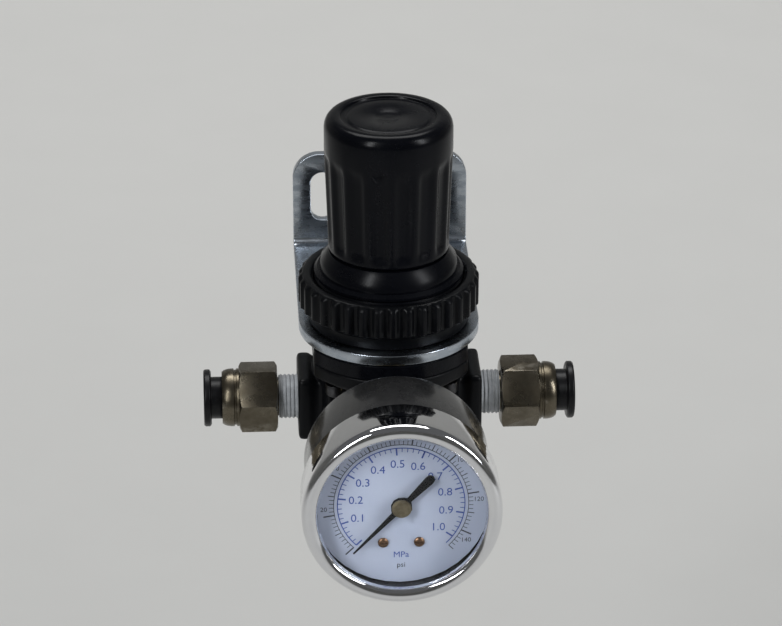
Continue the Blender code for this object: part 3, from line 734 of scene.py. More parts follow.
# Nickel-plated fitting shells: the warm tint is the plating's own, and the colour is darkened well
# below bright metal to paint in the dark surroundings they reflect, which is painted shade.
NICKEL_PLATE_PAINTED_SHADE = Finish("nickel_plate_painted_shade", (0.158, 0.137, 0.101), (0.112, 0.095, 0.067),
                      (0.24, 0.36), 1.0, patch_scale=260.0, grain=(2600.0, 0.003),
                      marks=((1.0, 0.0, 0.0), 0.010), edge=(0.42, 0.39, 0.33), rub=0.6)
BRASS = Finish("turned_brass", (0.60, 0.46, 0.23), (0.50, 0.37, 0.17), (0.22, 0.34), 1.0,
               patch_scale=300.0, grain=(3000.0, 0.003), marks=((0.0, 1.0, 0.0), 0.008))
DULL_BRASS = Finish("dull_brass", (0.30, 0.25, 0.16), (0.22, 0.18, 0.11), (0.30, 0.42), 1.0,
                    patch_scale=500.0, grain=(3500.0, 0.004))
STEEL = Finish("bright_steel", (0.56, 0.56, 0.57), (0.46, 0.46, 0.48), (0.20, 0.32), 1.0,
               patch_scale=260.0, grain=(3000.0, 0.003), marks=((0.0, 0.0, 1.0), 0.008))
DIAL_COPPER = Finish("dial_screw_copper", (0.26, 0.15, 0.085), (0.19, 0.105, 0.06), (0.32, 0.44),
                     1.0, patch_scale=700.0, grain=(3500.0, 0.004))
SCREW_STEEL = Finish("dark_screw", (0.10, 0.10, 0.105), (0.06, 0.06, 0.062), (0.28, 0.40), 1.0,
                     patch_scale=500.0, grain=(3500.0, 0.004))
RUBBER = Finish("soft_rubber", (0.020, 0.020, 0.020), (0.034, 0.033, 0.032), (0.62, 0.80),
                patch_scale=300.0, grain=(3000.0, 0.015))
SEALANT = Finish("thread_sealant", (0.40, 0.42, 0.44), (0.54, 0.56, 0.58), (0.40, 0.62),
                 patch_scale=600.0, grain=(1600.0, 0.05))
# White dial: its colour is darkened to a blue-grey to paint in the shade that falls on the dial,
# which is painted shade.
DIAL_WHITE_PAINTED_SHADE = Finish("dial_white", (0.45, 0.495, 0.605), (0.48, 0.52, 0.625), (0.50, 0.60),
                    patch_scale=60.0, grain=(5000.0, 0.002))
PRINT_BLUE = Finish("print_blue", (0.035, 0.075, 0.30), (0.05, 0.09, 0.34), (0.5, 0.6),
                    patch_scale=900.0, grain=(5000.0, 0.001))
PRINT_BLACK = Finish("print_black", (0.030, 0.032, 0.045), (0.05, 0.05, 0.065), (0.5, 0.6),
                     patch_scale=900.0, grain=(5000.0, 0.001))
WINDOW_CLEAR = ClearFinish("window_clear", (0.97, 0.98, 1.0), (0.95, 0.97, 1.0), (0.01, 0.03),
                           patch_scale=80.0, grain=(500.0, 0.0005))

CARRIED_OVER: dict[str, Finish] = {
    "adjusting_screw": STEEL, "retaining_clip": STEEL,
    "diaphragm_plate": STEEL, "sector_arbor": STEEL, "hairspring": STEEL,
    "grab_ring_left": STEEL, "grab_ring_right": STEEL,
    "adjusting_nut": BRASS, "diaphragm_stud": BRASS, "valve_poppet": BRASS,
    "movement_back_plate": BRASS, "movement_front_plate": BRASS, "movement_pillar_left": BRASS,
    "movement_pillar_right": BRASS, "sector_gear": BRASS, "bourdon_tube": BRASS,
    "bourdon_tip_link": BRASS, "pointer_arbor": DULL_BRASS,
    "valve_seal": RUBBER, "guide_seal": RUBBER, "tube_seal_left": RUBBER,
    # The CAD dial takes the dial finish whose colour holds painted shade.
    "tube_seal_right": RUBBER, "gauge_dial": DIAL_WHITE_PAINTED_SHADE, "gauge_pointer": POINTER_BLACK,
}


class PaintShop:
    """Gives pieces their materials, each built once."""

    def __init__(self) -> None:
        """Build the shared effects."""
        self.effects = Effects()
        self.made: dict[str, bpy.types.Material] = {}

    def material(self, finish: Finish) -> bpy.types.Material:
        """The material of a finish, built when it is first asked for."""
        if finish.name not in self.made:
            self.made[finish.name] = finish.make(self.effects)
        return self.made[finish.name]

    def finish(self, piece: Piece, finish: Finish, slot: str, *nodes: str) -> None:
        """Finish a new piece and let it stand for its CAD nodes.

        Args:
            piece: Piece with its place in its mesh.
            finish: How it looks.
            slot: Name of the material slot; not used.
            *nodes: CAD nodes that it stands for.
        """
        piece.data.materials.clear()
        piece.data.materials.append(self.material(finish))
        if nodes:
            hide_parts(*nodes)
        LOG.info("%s finished, %d faces", piece.name, len(piece.data.polygons))

    def dress(self, piece: Piece, finish: Finish, body: str, slot: str, *nodes: str) -> None:
        """Finish a new piece that rides on one body.

        Args:
            piece: Piece with its place in its mesh.
            finish: How it looks.
            body: CAD body that it moves with.
            slot: Name of the material slot, passed on to finish; not used.
            *nodes: CAD nodes that it stands for.
        """
        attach(piece, body)
        self.finish(piece, finish, slot, *nodes)

    def dress_node(self, node: str, finish: Finish) -> None:
        """Give a carried-over CAD node its finish."""
        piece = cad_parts[node]
        if not piece.material_slots:
            piece.data.materials.append(None)
        for place in piece.material_slots:
            place.material = self.material(finish)
        LOG.info("%s keeps its CAD shape", node)


# ---------------------------------------------------------------- regulator

def flange_flats() -> Iterator[Piece]:
    """Blocks that trim the clamped flanges flat above the ports."""
    for low, high in ((-25.0, -17.0), (17.0, 25.0)):
        yield block("flat", (low, -25.0, 9.1), (high, 25.0, 17.2))


@dataclass
class Casting:
    """Die-cast body with its flange, port heads, gauge bosses and screw pockets."""

    barrel: float = 16.75
    flange: float = 19.75
    top: float = 13.0
    flange_low: float = 9.6
    bottom: float = -12.0
    port_face: float = 20.5
    head_start: float = 18.0
    bar_start: float = 16.6
    head_half: tuple[float, float] = (7.6, 7.5)
    bar_half: tuple[float, float] = (6.9, 6.8)
    boss: float = 7.5
    boss_face: float = 19.0
    pocket: float = 2.8
    pocket_circle: float = 17.25
    mouth: float = 6.0
    stem_bore: float = 7.0
    seat: float = 3.0
    chamber: float = 13.0
    chamber_low: float = 10.0
    seal_rim: float = 15.2
    port_bore: float = 5.25
    port_depth: float = 11.5
    gauge_bore: float = 4.35
    gauge_depth: float = 10.5
    way: float = 1.9
    voxel: float = 0.36

    def port_block(self) -> Piece:
        """Both square port heads on one bar that is slightly narrower between them."""
        deep, tall = self.head_half
        piece = block("port_block", (-self.port_face, -deep, -tall), (self.port_face, deep, tall))
        with editing(piece):
            for place in (self.head_start, self.bar_start):
                for sign in (-1, 1):
                    bpy.ops.mesh.select_all(action="SELECT")
                    bpy.ops.mesh.bisect(plane_co=(sign * place * MM, 0.0, 0.0),
                                        plane_no=(1.0, 0.0, 0.0))
            limit = (self.bar_start + 0.1) * MM
            pick(piece, lambda place: abs(place.x) < limit)
            bpy.ops.transform.resize(
                value=(1.0, self.bar_half[0] / deep, self.bar_half[1] / tall),
                center_override=(0.0, 0.0, 0.0))
        soften(piece, 0.9, segments=3)
        return piece

    def pockets(self) -> Iterator[Piece]:
        """Half-round pockets under the flange for the bonnet screws."""
        for place in ring_places(self.pocket_circle, 4, 45.0):
            tool = prism("pocket", self.pocket, self.bottom - 2, self.flange_low + 0.2, sides=48)
            tool.location = place
            apply_place(tool)
            yield tool

    def on_axis(self, tool: Piece, axis: Axis) -> Piece:
        """Turn a tool shape to one of the axes, with the regulator's centre at the origin."""
        tool.matrix_world = Matrix.Translation(-regulator_centre()) @ axis.matrix()
        apply_place(tool)
        return tool

    def passages(self) -> Iterator[Piece]:
        """Hollows for the valve, the diaphragm, the tube fittings and the gauge connector."""
        rim = self.top - 0.6
        yield turned("core", [
            (self.stem_bore, self.bottom - 1), (self.stem_bore, -1.0), (self.seat, -1.0),
            (self.seat, self.chamber_low), (self.chamber, self.chamber_low), (self.chamber, rim),
            (self.seal_rim, rim), (self.seal_rim, self.top + 1)])
        for axis in (Axis.LEFT, Axis.RIGHT):
            yield self.on_axis(prism("port", self.port_bore, self.port_depth,
                                     self.port_face + 1), axis)
            yield self.on_axis(prism("way", self.way, self.seat - 1, self.port_depth + 1,
                                     sides=24), axis)
        for axis in (Axis.FRONT, Axis.REAR):
            yield self.on_axis(prism("gauge_port", self.gauge_bore, self.gauge_depth,
                                     self.boss_face + 1), axis)

    def build(self, shop: PaintShop) -> None:
        """Model and dress the casting.

        Args:
            shop: Where the finish comes from.
        """
        piece = turned("body_casting", [
            (self.barrel - 1.2, self.bottom), (self.barrel, self.bottom + 1.2),
            (self.barrel, self.flange_low), (self.flange - 0.4, self.flange_low),
            (self.flange, self.flange_low + 0.4), (self.flange, self.top - 0.1),
            (self.flange - 0.1, self.top)], steps=144)
        bosses = [self.on_axis(prism("boss", self.boss, 8.0, self.boss_face), axis)
                  for axis in (Axis.FRONT, Axis.REAR)]
        shape_with(piece, Cut.JOIN, self.port_block(), *bosses)
        shape_with(piece, Cut.CARVE, *self.pockets(), *flange_flats())
        mouths = [self.on_axis(turned("mouth", [
            (self.mouth - 0.8, face - 0.9), (self.mouth, face + 0.1), (self.mouth, face + 1.0)]),
            axis) for axis, face in ((Axis.LEFT, self.port_face), (Axis.RIGHT, self.port_face),
                                     (Axis.REAR, self.boss_face))]
        shape_with(piece, Cut.CARVE, *mouths, *self.passages())
        use_modifier(piece, "REMESH", mode="VOXEL", voxel_size=self.voxel * MM,
                     use_smooth_shade=True)
        use_modifier(piece, "SMOOTH", factor=0.5, iterations=5)
        stand(piece, Axis.UPRIGHT, sharp=60.0)
        shop.dress(piece, CAST_BLACK, "housing", "black_painted_body", "body")


@dataclass
class BonnetScrews:
    """Four socket screws that are seen from below, in the casting's pockets."""

    circle: float = 17.25
    head: float = 2.4
    head_low: float = 6.6
    head_top: float = 9.3
    shank: float = 1.3
    tip: float = 15.4
    socket: float = 2.0

    def build(self, shop: PaintShop) -> None:
        """Model one screw, then copy it to the four corners.

        Args:
            shop: Where the finish comes from.
        """
        pattern = turned("screw", [
            (self.head - 0.3, self.head_low), (self.head, self.head_low + 0.3),
            (self.head, self.head_top), (self.shank, self.head_top),
            (self.shank, self.tip)], steps=32)
        shape_with(pattern, Cut.CARVE, prism("socket", self.socket / math.sqrt(3),
                                             self.head_low - 1, self.head_low + 1.4, sides=6))
        soften(pattern, 0.08, segments=2)
        for number, place in enumerate(ring_places(self.circle, 4, 45.0), start=1):
            piece = twin_of(pattern, f"screw_{number}")
            piece.data.transform(Matrix.Translation(place))
            stand(piece, Axis.UPRIGHT)
            shop.dress(piece, SCREW_STEEL, "housing", "bare_steel", f"bonnet_screw_{number}")
        bpy.data.objects.remove(pattern, do_unlink=True)


@dataclass
class Bonnet:
    """Moulded bonnet: clamping flange, threaded neck and the tower under the knob."""

    flange: float = 19.75
    base: float = 13.3
    shoulder: float = 16.7
    neck: float = 16.5
    neck_top: float = 32.1
    thread_pitch: float = 1.0
    thread_depth: float = 0.35
    collar: tuple[float, float] = (15.2, 13.2)
    collar_top: float = 36.2
    tower: float = 11.6
    tower_top: float = 58.0
    chamber: float = 10.4

    def build(self, shop: PaintShop) -> None:
        """Model and dress the bonnet.

        Args:
            shop: Where the finish comes from.
        """
        outline = [(4.4, 55.0), (self.chamber, 55.0), (self.chamber, 15.8), (13.0, 15.8),
                   (13.0, 13.9), (15.2, 13.9), (15.2, self.base), (self.flange, self.base),
                   (self.flange, self.shoulder - 0.35), (self.flange - 0.35, self.shoulder),
                   (self.neck, self.shoulder)]
        root = self.neck - self.thread_depth
        outline += ridges([(self.neck, 0.0), (root, 0.4), (root, 0.55), (self.neck, 0.95)],
                          self.shoulder + 1.2, self.neck_top - 1.4, self.thread_pitch)
        outline += [(self.neck, self.neck_top - 0.7), (self.neck - 0.7, self.neck_top),
                    (self.collar[0], self.neck_top), (self.collar[0] - 0.2, 34.0),
                    (self.collar[1], self.collar_top), (self.tower, self.collar_top),
                    (self.tower, self.tower_top - 0.6), (self.tower - 0.6, self.tower_top),
                    (4.4, self.tower_top)]
        piece = turned("bonnet_moulding", outline, Ends.BORED)
        vent = prism("vent", 0.8, 9.0, 18.0, sides=24)
        vent.rotation_euler = (-QUARTER, 0.0, 0.0)
        vent.location = (0.0, 0.0, 33.4 * MM)
        apply_place(vent)
        shape_with(piece, Cut.CARVE, vent, *flange_flats())
        stand(piece, Axis.UPRIGHT)
        shop.dress(piece, MOULDED_BLACK, "housing", "black_moulding", "bonnet")


@dataclass
class PanelNut:
    """Ribbed ring nut that clamps the bracket."""

    bore: float = 16.7
    skirt: float = 17.8
    low: float = 19.6
    knurl_low: float = 23.3
    top: float = 30.6
    radius: float = 20.0
    ribs: int = 36
    depth: float = 0.95

    def build(self, shop: PaintShop) -> None:
        """Model and dress the nut.

        Args:
            shop: Where the finish comes from.
        """
        steps = self.ribs * 8
        full, upper = self.knurl_low + 0.4, self.top - 1.1
        piece = turned("ribbed_ring_nut", [
            (self.bore, self.low), (self.skirt - 0.3, self.low), (self.skirt, self.low + 0.3),
            (self.skirt, 22.3), (18.6, 22.8), (19.4, self.knurl_low), (self.radius, full),
            (self.radius, upper), (self.radius - 0.35, upper + 0.5), (19.1, self.top - 0.15),
            (18.8, self.top), (17.5, self.top), (self.bore, self.top - 0.7)],
            Ends.BORED, steps)
        press_grips(piece, self.ribs, steps, {
            self.knurl_low: 0.4, full: self.depth, upper: self.depth, upper + 0.5: 0.6},
            (0.0, 0.0, 0.45, 0.95, 1.0), 18.7)
        soften(piece, 0.14, segments=2, angle=28.0)
        stand(piece, Axis.UPRIGHT, sharp=40.0)
        shop.dress(piece, KNURLED_BLACK, "housing", "black_moulding", "panel_nut")


@dataclass
class Knob:
    """Fluted adjusting knob with a rounded shoulder and a dished top."""

    bore: float = 11.9
    low: float = 36.6
    top: float = 68.0
    low_radius: float = 13.3
    top_radius: float = 14.1
    flutes: int = 16
    depth: float = 0.72
    dish: float = 10.4
    dish_depth: float = 0.6
    shoulder: float = 65.2

    def shoulder_rings(self, count: int = 5) -> Outline:
        """Rings of the quarter-round between the wall and the flat rim."""
        rim = 11.9
        across, rise = self.top_radius - rim, self.top - self.shoulder
        return [(rim + across * math.cos(QUARTER * step / count),
                 self.shoulder + rise * math.sin(QUARTER * step / count))
                for step in range(count + 1)]

    def build(self, shop: PaintShop) -> None:
        """Model and dress the knob.

        Args:
            shop: Where the finish comes from.
        """
        steps = self.flutes * 12
        grip = [(38.0, 0.0), (39.0, 0.75), (40.0, 1.0), (56.6, 1.0), (57.8, 0.85), (58.8, 0.5),
                (59.6, 0.15), (60.4, 0.0)]
        span = grip[-1][0] - grip[0][0]
        walls = [(self.low_radius + (self.top_radius - self.low_radius)
                  * (height - grip[0][0]) / span, height) for height, _ in grip]
        outline = [(0.8, self.top - 2.6), (6.4, self.top - 2.6), (self.bore, self.top - 3.0),
                   (self.bore, self.low + 0.4), (self.bore + 0.3, self.low),
                   (self.low_radius - 0.4, self.low), (self.low_radius, self.low + 0.5)]
        outline += walls + self.shoulder_rings()
        floor = self.top - self.dish_depth
        outline += [(self.dish + 0.5, self.top), (self.dish + 0.1, self.top - 0.15),
                    (self.dish, floor), (9.3, floor), (9.0, floor + 0.22), (8.7, floor + 0.25),
                    (3.0, floor + 0.3), (2.7, floor + 0.12), (0.8, floor + 0.1)]
        piece = turned("fluted_knob", outline, Ends.CAPPED, steps)
        press_grips(piece, self.flutes, steps,
                    {height: self.depth * share for height, share in grip},
                    (0.0, 0.06, 0.35, 0.72, 0.92, 0.99, 1.0), self.low_radius - 1.0)
        soften(piece, 0.12, segments=2, angle=32.0)
        stand(piece, Axis.UPRIGHT, sharp=45.0)
        shop.dress(piece, MOULDED_BLACK, "knob", "black_moulding", "knob")


@dataclass
class Bracket:
    """Bent sheet: a ring for the neck and a leg with two slots for the wall."""

    thickness: float = 2.3
    ring_low: float = 17.0
    half_width: float = 20.0
    hole: float = 16.8
    wall: float = 42.0
    bend: float = 1.5
    top: float = 41.5
    corner: float = 6.0
    slot_offset: float = 13.2
    slot_width: float = 5.5
    slot_length: float = 12.0
    slot_height: float = 31.0
    bend_steps: int = 12

    def sheet(self) -> Piece:
        """Blank bent to an L, from the front of the ring to the top of the leg."""
        outer = self.bend + self.thickness
        wide = self.half_width + 1.0
        piece = block("bracket_sheet", (-wide, -self.half_width - 1.0, self.ring_low),
                      (wide, self.wall - outer, self.ring_low + self.thickness))
        back = (self.wall - outer - 0.01) * MM
        with editing(piece):
            pick_faces(piece, lambda place: place.y > back)
            bpy.ops.mesh.spin(steps=self.bend_steps, angle=-QUARTER,
                              center=(0.0, (self.wall - outer) * MM,
                                      (self.ring_low + outer) * MM), axis=(1.0, 0.0, 0.0))
            reach = (self.top + 1.0 - self.ring_low - outer) * MM
            bpy.ops.mesh.extrude_region_move(TRANSFORM_OT_translate={"value": (0.0, 0.0, reach)})
        tidy_mesh(piece)
        return piece

    def trims(self) -> Iterator[Piece]:
        """Outlines that the blank is trimmed to, from above and from the front."""
        yield prism("plan", self.half_width, 10.0, 60.0, sides=192, stretch=(0.0, 60.0))
        face = block("face", (-self.half_width, -60.0, 0.0), (self.half_width, 60.0, self.top))
        high = (self.top - 0.01) * MM
        with editing(face):
            bpy.ops.mesh.select_mode(type="EDGE")
            mesh = bmesh.from_edit_mesh(face.data)
            for edge in mesh.edges:
                first, second = (vert.co for vert in edge.verts)
                edge.select_set(min(first.z, second.z) > high and abs(first.x - second.x) < MM)
            bmesh.update_edit_mesh(face.data)
            bpy.ops.mesh.bevel(offset=self.corner * MM, segments=14, affect="EDGES")
        yield face

    def holes(self) -> Iterator[Piece]:
        """The ring's hole and the two upright slots."""
        yield prism("hole", self.hole, 10.0, 30.0, sides=192)
        run = self.slot_length - self.slot_width
        for sign in (-1, 1):
            slot = prism("slot", self.slot_width / 2, -60.0, -30.0, sides=48, stretch=(0.0, run))
            slot.rotation_euler = (QUARTER, 0.0, 0.0)
            slot.location = (sign * self.slot_offset * MM, 0.0,
                             (self.slot_height - run / 2) * MM)
            apply_place(slot)
            yield slot

    def build(self, shop: PaintShop) -> None:
        """Model and dress the bracket.

        Args:
            shop: Where the finish comes from.
        """
        piece = self.sheet()
        shape_with(piece, Cut.KEEP_COMMON, *self.trims())
        shape_with(piece, Cut.CARVE, *self.holes())
        soften(piece, 0.22, segments=3, angle=40.0)
        stand(piece, Axis.UPRIGHT, sharp=35.0)
        shop.dress(piece, ZINC_PLATE, "housing", "bracket_zinc", "bracket")


@dataclass
class ValvePlug:
    """Plug with a driver slot that closes the body from below."""

    radius: float = 11.9
    low: float = -17.0
    top: float = -12.3
    stem: float = 6.7
    notch: float = 0.7
    notches: int = 12
    notch_circle: float = 12.1

    def build(self, shop: PaintShop) -> None:
        """Model and dress the plug.

        Args:
            shop: Where the finish comes from.
        """
        piece = turned("valve_plug", [
            (9.0, self.low + 0.5), (9.4, self.low), (self.radius - 1.0, self.low),
            (self.radius, self.low + 1.0), (self.radius, self.top), (self.stem, self.top),
            (self.stem, -11.8), (5.7, -11.8), (5.7, -10.1), (self.stem, -10.1),
            (self.stem, -8.6), (4.3, -8.6), (4.3, -10.9), (2.4, -10.9), (2.4, -14.0)])
        shape_with(piece, Cut.CARVE, block("driver_slot", (-9.0, -0.8, -18.0), (9.0, 0.8, -15.6)))
        for place in ring_places(self.notch_circle, self.notches):
            notch = prism("notch", self.notch, self.low - 1, self.low + 2.6, sides=16)
            notch.location = place
            apply_place(notch)
            shape_with(piece, Cut.CARVE, notch)
        soften(piece, 0.12, segments=2)
        stand(piece, Axis.UPRIGHT)
        shop.dress(piece, KNURLED_BLACK, "housing", "black_moulding", "valve_guide")


@dataclass
class RearPlug:
    """Socket plug in the spare gauge port."""

    radius: float = 4.0
    face: float = 18.9
    socket: float = 3.8
    thread_pitch: float = 0.9
    thread_depth: float = 0.3

    def build(self, shop: PaintShop) -> None:
        """Model and dress the plug.

        Args:
            shop: Where the finish comes from.
        """
        root = self.radius - self.thread_depth
        outline = [(3.4, 12.0)]
        outline += ridges([(self.radius, 0.0), (self.radius, 0.25), (root, 0.5), (root, 0.6)],
                          12.3, self.face - 1.0, self.thread_pitch)
        outline += [(self.radius, self.face - 0.5), (self.radius - 0.4, self.face)]
        piece = turned("rear_port_plug", outline, steps=64)
        shape_with(piece, Cut.CARVE, prism("socket", self.socket / math.sqrt(3), 16.0, 20.0,
                                           sides=6))
        soften(piece, 0.08, segments=2)
        stand(piece, Axis.REAR)
        shop.dress(piece, STEEL, "housing", "bare_steel", "rear_gauge_plug")


@dataclass
class Spring:
    """Compression spring wound round the upright axis."""

    name: str
    node: str
    joint: str
    radius: float
    wire: float
    low: float
    high: float
    turns: float
    stroke: float
    steps_per_turn: int = 32

    def build(self, shop: PaintShop) -> None:
        """Wind the wire and close its ends.

        Args:
            shop: Where the finish comes from.
        """
        length = self.high - self.low
        steps = round(self.steps_per_turn * self.turns)
        clear_selection()
        bpy.ops.mesh.primitive_circle_add(
            vertices=12, radius=self.wire * MM, rotation=(QUARTER, 0.0, 0.0),
            location=(self.radius * MM, 0.0, (self.low + self.wire) * MM))
        piece = bpy.context.object
        piece.name = self.name
        apply_place(piece)
        use_modifier(piece, "SCREW", axis="Z", angle=math.tau * self.turns, steps=steps,
                     render_steps=steps, screw_offset=(length - 2 * self.wire) * MM)
        with editing(piece):
            bpy.ops.mesh.fill_holes(sides=0)
        tidy_mesh(piece)
        stand(piece, Axis.UPRIGHT)
        shop.dress(piece, STEEL, "housing", "bare_steel", self.node)
        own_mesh(piece)


@dataclass
class Diaphragm:
    """Rubber diaphragm, turned and cut into slices."""

    bore: float = 2.3
    slices: int = 12
    held_outside: float = 12.4
    held_inside: float = 9.6

    def build(self, shop: PaintShop) -> None:
        """Turn the sheet, cut one slice and copy it round.

        Args:
            shop: Where the finish comes from.
        """
        share = math.tau / self.slices
        pattern = turned("diaphragm_sheet", [
            (self.bore, 12.6), (9.3, 12.6), (10.2, 12.9), (11.0, 13.5), (11.6, 13.5),
            (12.4, 12.6), (14.9, 12.6), (14.9, 13.5), (12.9, 13.5), (11.8, 14.3), (10.8, 14.4),
            (9.8, 13.7), (9.0, 13.4), (self.bore, 13.4)], Ends.BORED)
        with editing(pattern):
            for turn, side in ((-share / 2, -1.0), (share / 2, 1.0)):
                bpy.ops.mesh.select_all(action="SELECT")
                bpy.ops.mesh.bisect(
                    plane_co=(0.0, 0.0, 0.0), use_fill=True, clear_outer=True,
                    plane_no=(-side * math.sin(turn), side * math.cos(turn), 0.0))
        tidy_mesh(pattern)
        for number in range(self.slices):
            piece = twin_of(pattern, f"diaphragm_slice_{number + 1}")
            piece.data.transform(Matrix.Rotation(share * number, 4, "Z"))
            stand(piece, Axis.UPRIGHT)
            shop.finish(piece, RUBBER, "rubber", "diaphragm")
            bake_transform(piece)
        bpy.data.objects.remove(pattern, do_unlink=True)


# ---------------------------------------------------------------- gauge

@dataclass
class GaugeShell:
    """Connector, case, bezel and window of the gauge, measured forwards from the centre."""

    case: float = 20.0
    case_back: float = 29.8
    case_front: float = 53.3
    bezel: float = 21.3
    bezel_back: float = 46.0
    bezel_front: float = 57.0
    opening: float = 17.9
    window: tuple[float, float] = (53.7, 55.0)
    wrench: float = 12.0

    def connector(self, shop: PaintShop) -> None:
        """Brass connector with its wrench flats."""
        piece = hexagon("gauge_stem", self.wrench, 19.4, 27.1)
        shape_with(piece, Cut.JOIN, turned("spigot", [
            (3.7, 10.9), (4.05, 11.4), (4.05, 20.0), (4.0, 26.0), (4.0, 38.6)]))
        soften(piece, 0.12, segments=2)
        stand(piece, Axis.FRONT)
        shop.dress(piece, BRASS, "housing", "yellow_brass", "gauge_connector")

    def can(self, shop: PaintShop) -> None:
        """Drawn case with a rounded back edge and a stamped step."""
        piece = turned("gauge_can", [
            (4.3, self.case_back + 0.8), (4.3, self.case_back), (12.4, self.case_back),
            (12.9, self.case_back + 0.35), (17.6, self.case_back + 0.35), (18.1, self.case_back),
            (18.9, self.case_back), (19.45, self.case_back + 0.2), (19.85, self.case_back + 0.65),
            (self.case, self.case_back + 1.3), (self.case, self.case_front),
            (19.3, self.case_front), (19.3, self.case_back + 1.2)], Ends.BORED, 128)
        soften(piece, 0.15, segments=2)
        stand(piece, Axis.FRONT)
        shop.dress(piece, CASE_BLACK, "housing", "gauge_case_black", "gauge_case")

    def bezel_ring(self, shop: PaintShop) -> None:
        """Plated bezel, rolled in at the back and round at the front."""
        nose_radius = 1.75
        centre = (self.bezel - nose_radius, self.bezel_front - nose_radius)
        nose = [(centre[0] + nose_radius * math.cos(math.radians(angle)),
                 centre[1] + nose_radius * math.sin(math.radians(angle)))
                for angle in range(0, 151, 15)]
        outline = [(20.3, 55.3), (20.3, self.bezel_back + 0.4), (20.5, self.bezel_back),
                   (self.bezel - 0.35, self.bezel_back),
                   (self.bezel - 0.1, self.bezel_back + 0.12),
                   (self.bezel, self.bezel_back + 0.4), (self.bezel, 54.4)]
        outline += nose + [(self.opening + 0.1, 55.6), (self.opening, 55.3)]
        piece = turned("bezel_ring", outline, Ends.BORED, 160)
        stand(piece, Axis.FRONT, sharp=50.0)
        shop.dress(piece, BRIGHT_CHROME, "housing", "bezel_chrome", "gauge_bezel")

    def lens(self, shop: PaintShop) -> None:
        """Clear window behind the bezel's lip."""
        low, high = self.window
        piece = turned("window_lens", [(19.7, low), (19.9, low + 0.2), (19.9, high - 0.2),
                                       (19.7, high)], steps=128)
        stand(piece, Axis.FRONT)
        piece.visible_shadow = False
        shop.dress(piece, WINDOW_CLEAR, "housing", "window_clear", "gauge_window")

    def build(self, shop: PaintShop) -> None:
        """Model and dress the shell.

        Args:
            shop: Where the finishes come from.
        """
        self.connector(shop)
        self.can(shop)
        self.bezel_ring(shop)
        self.lens(shop)


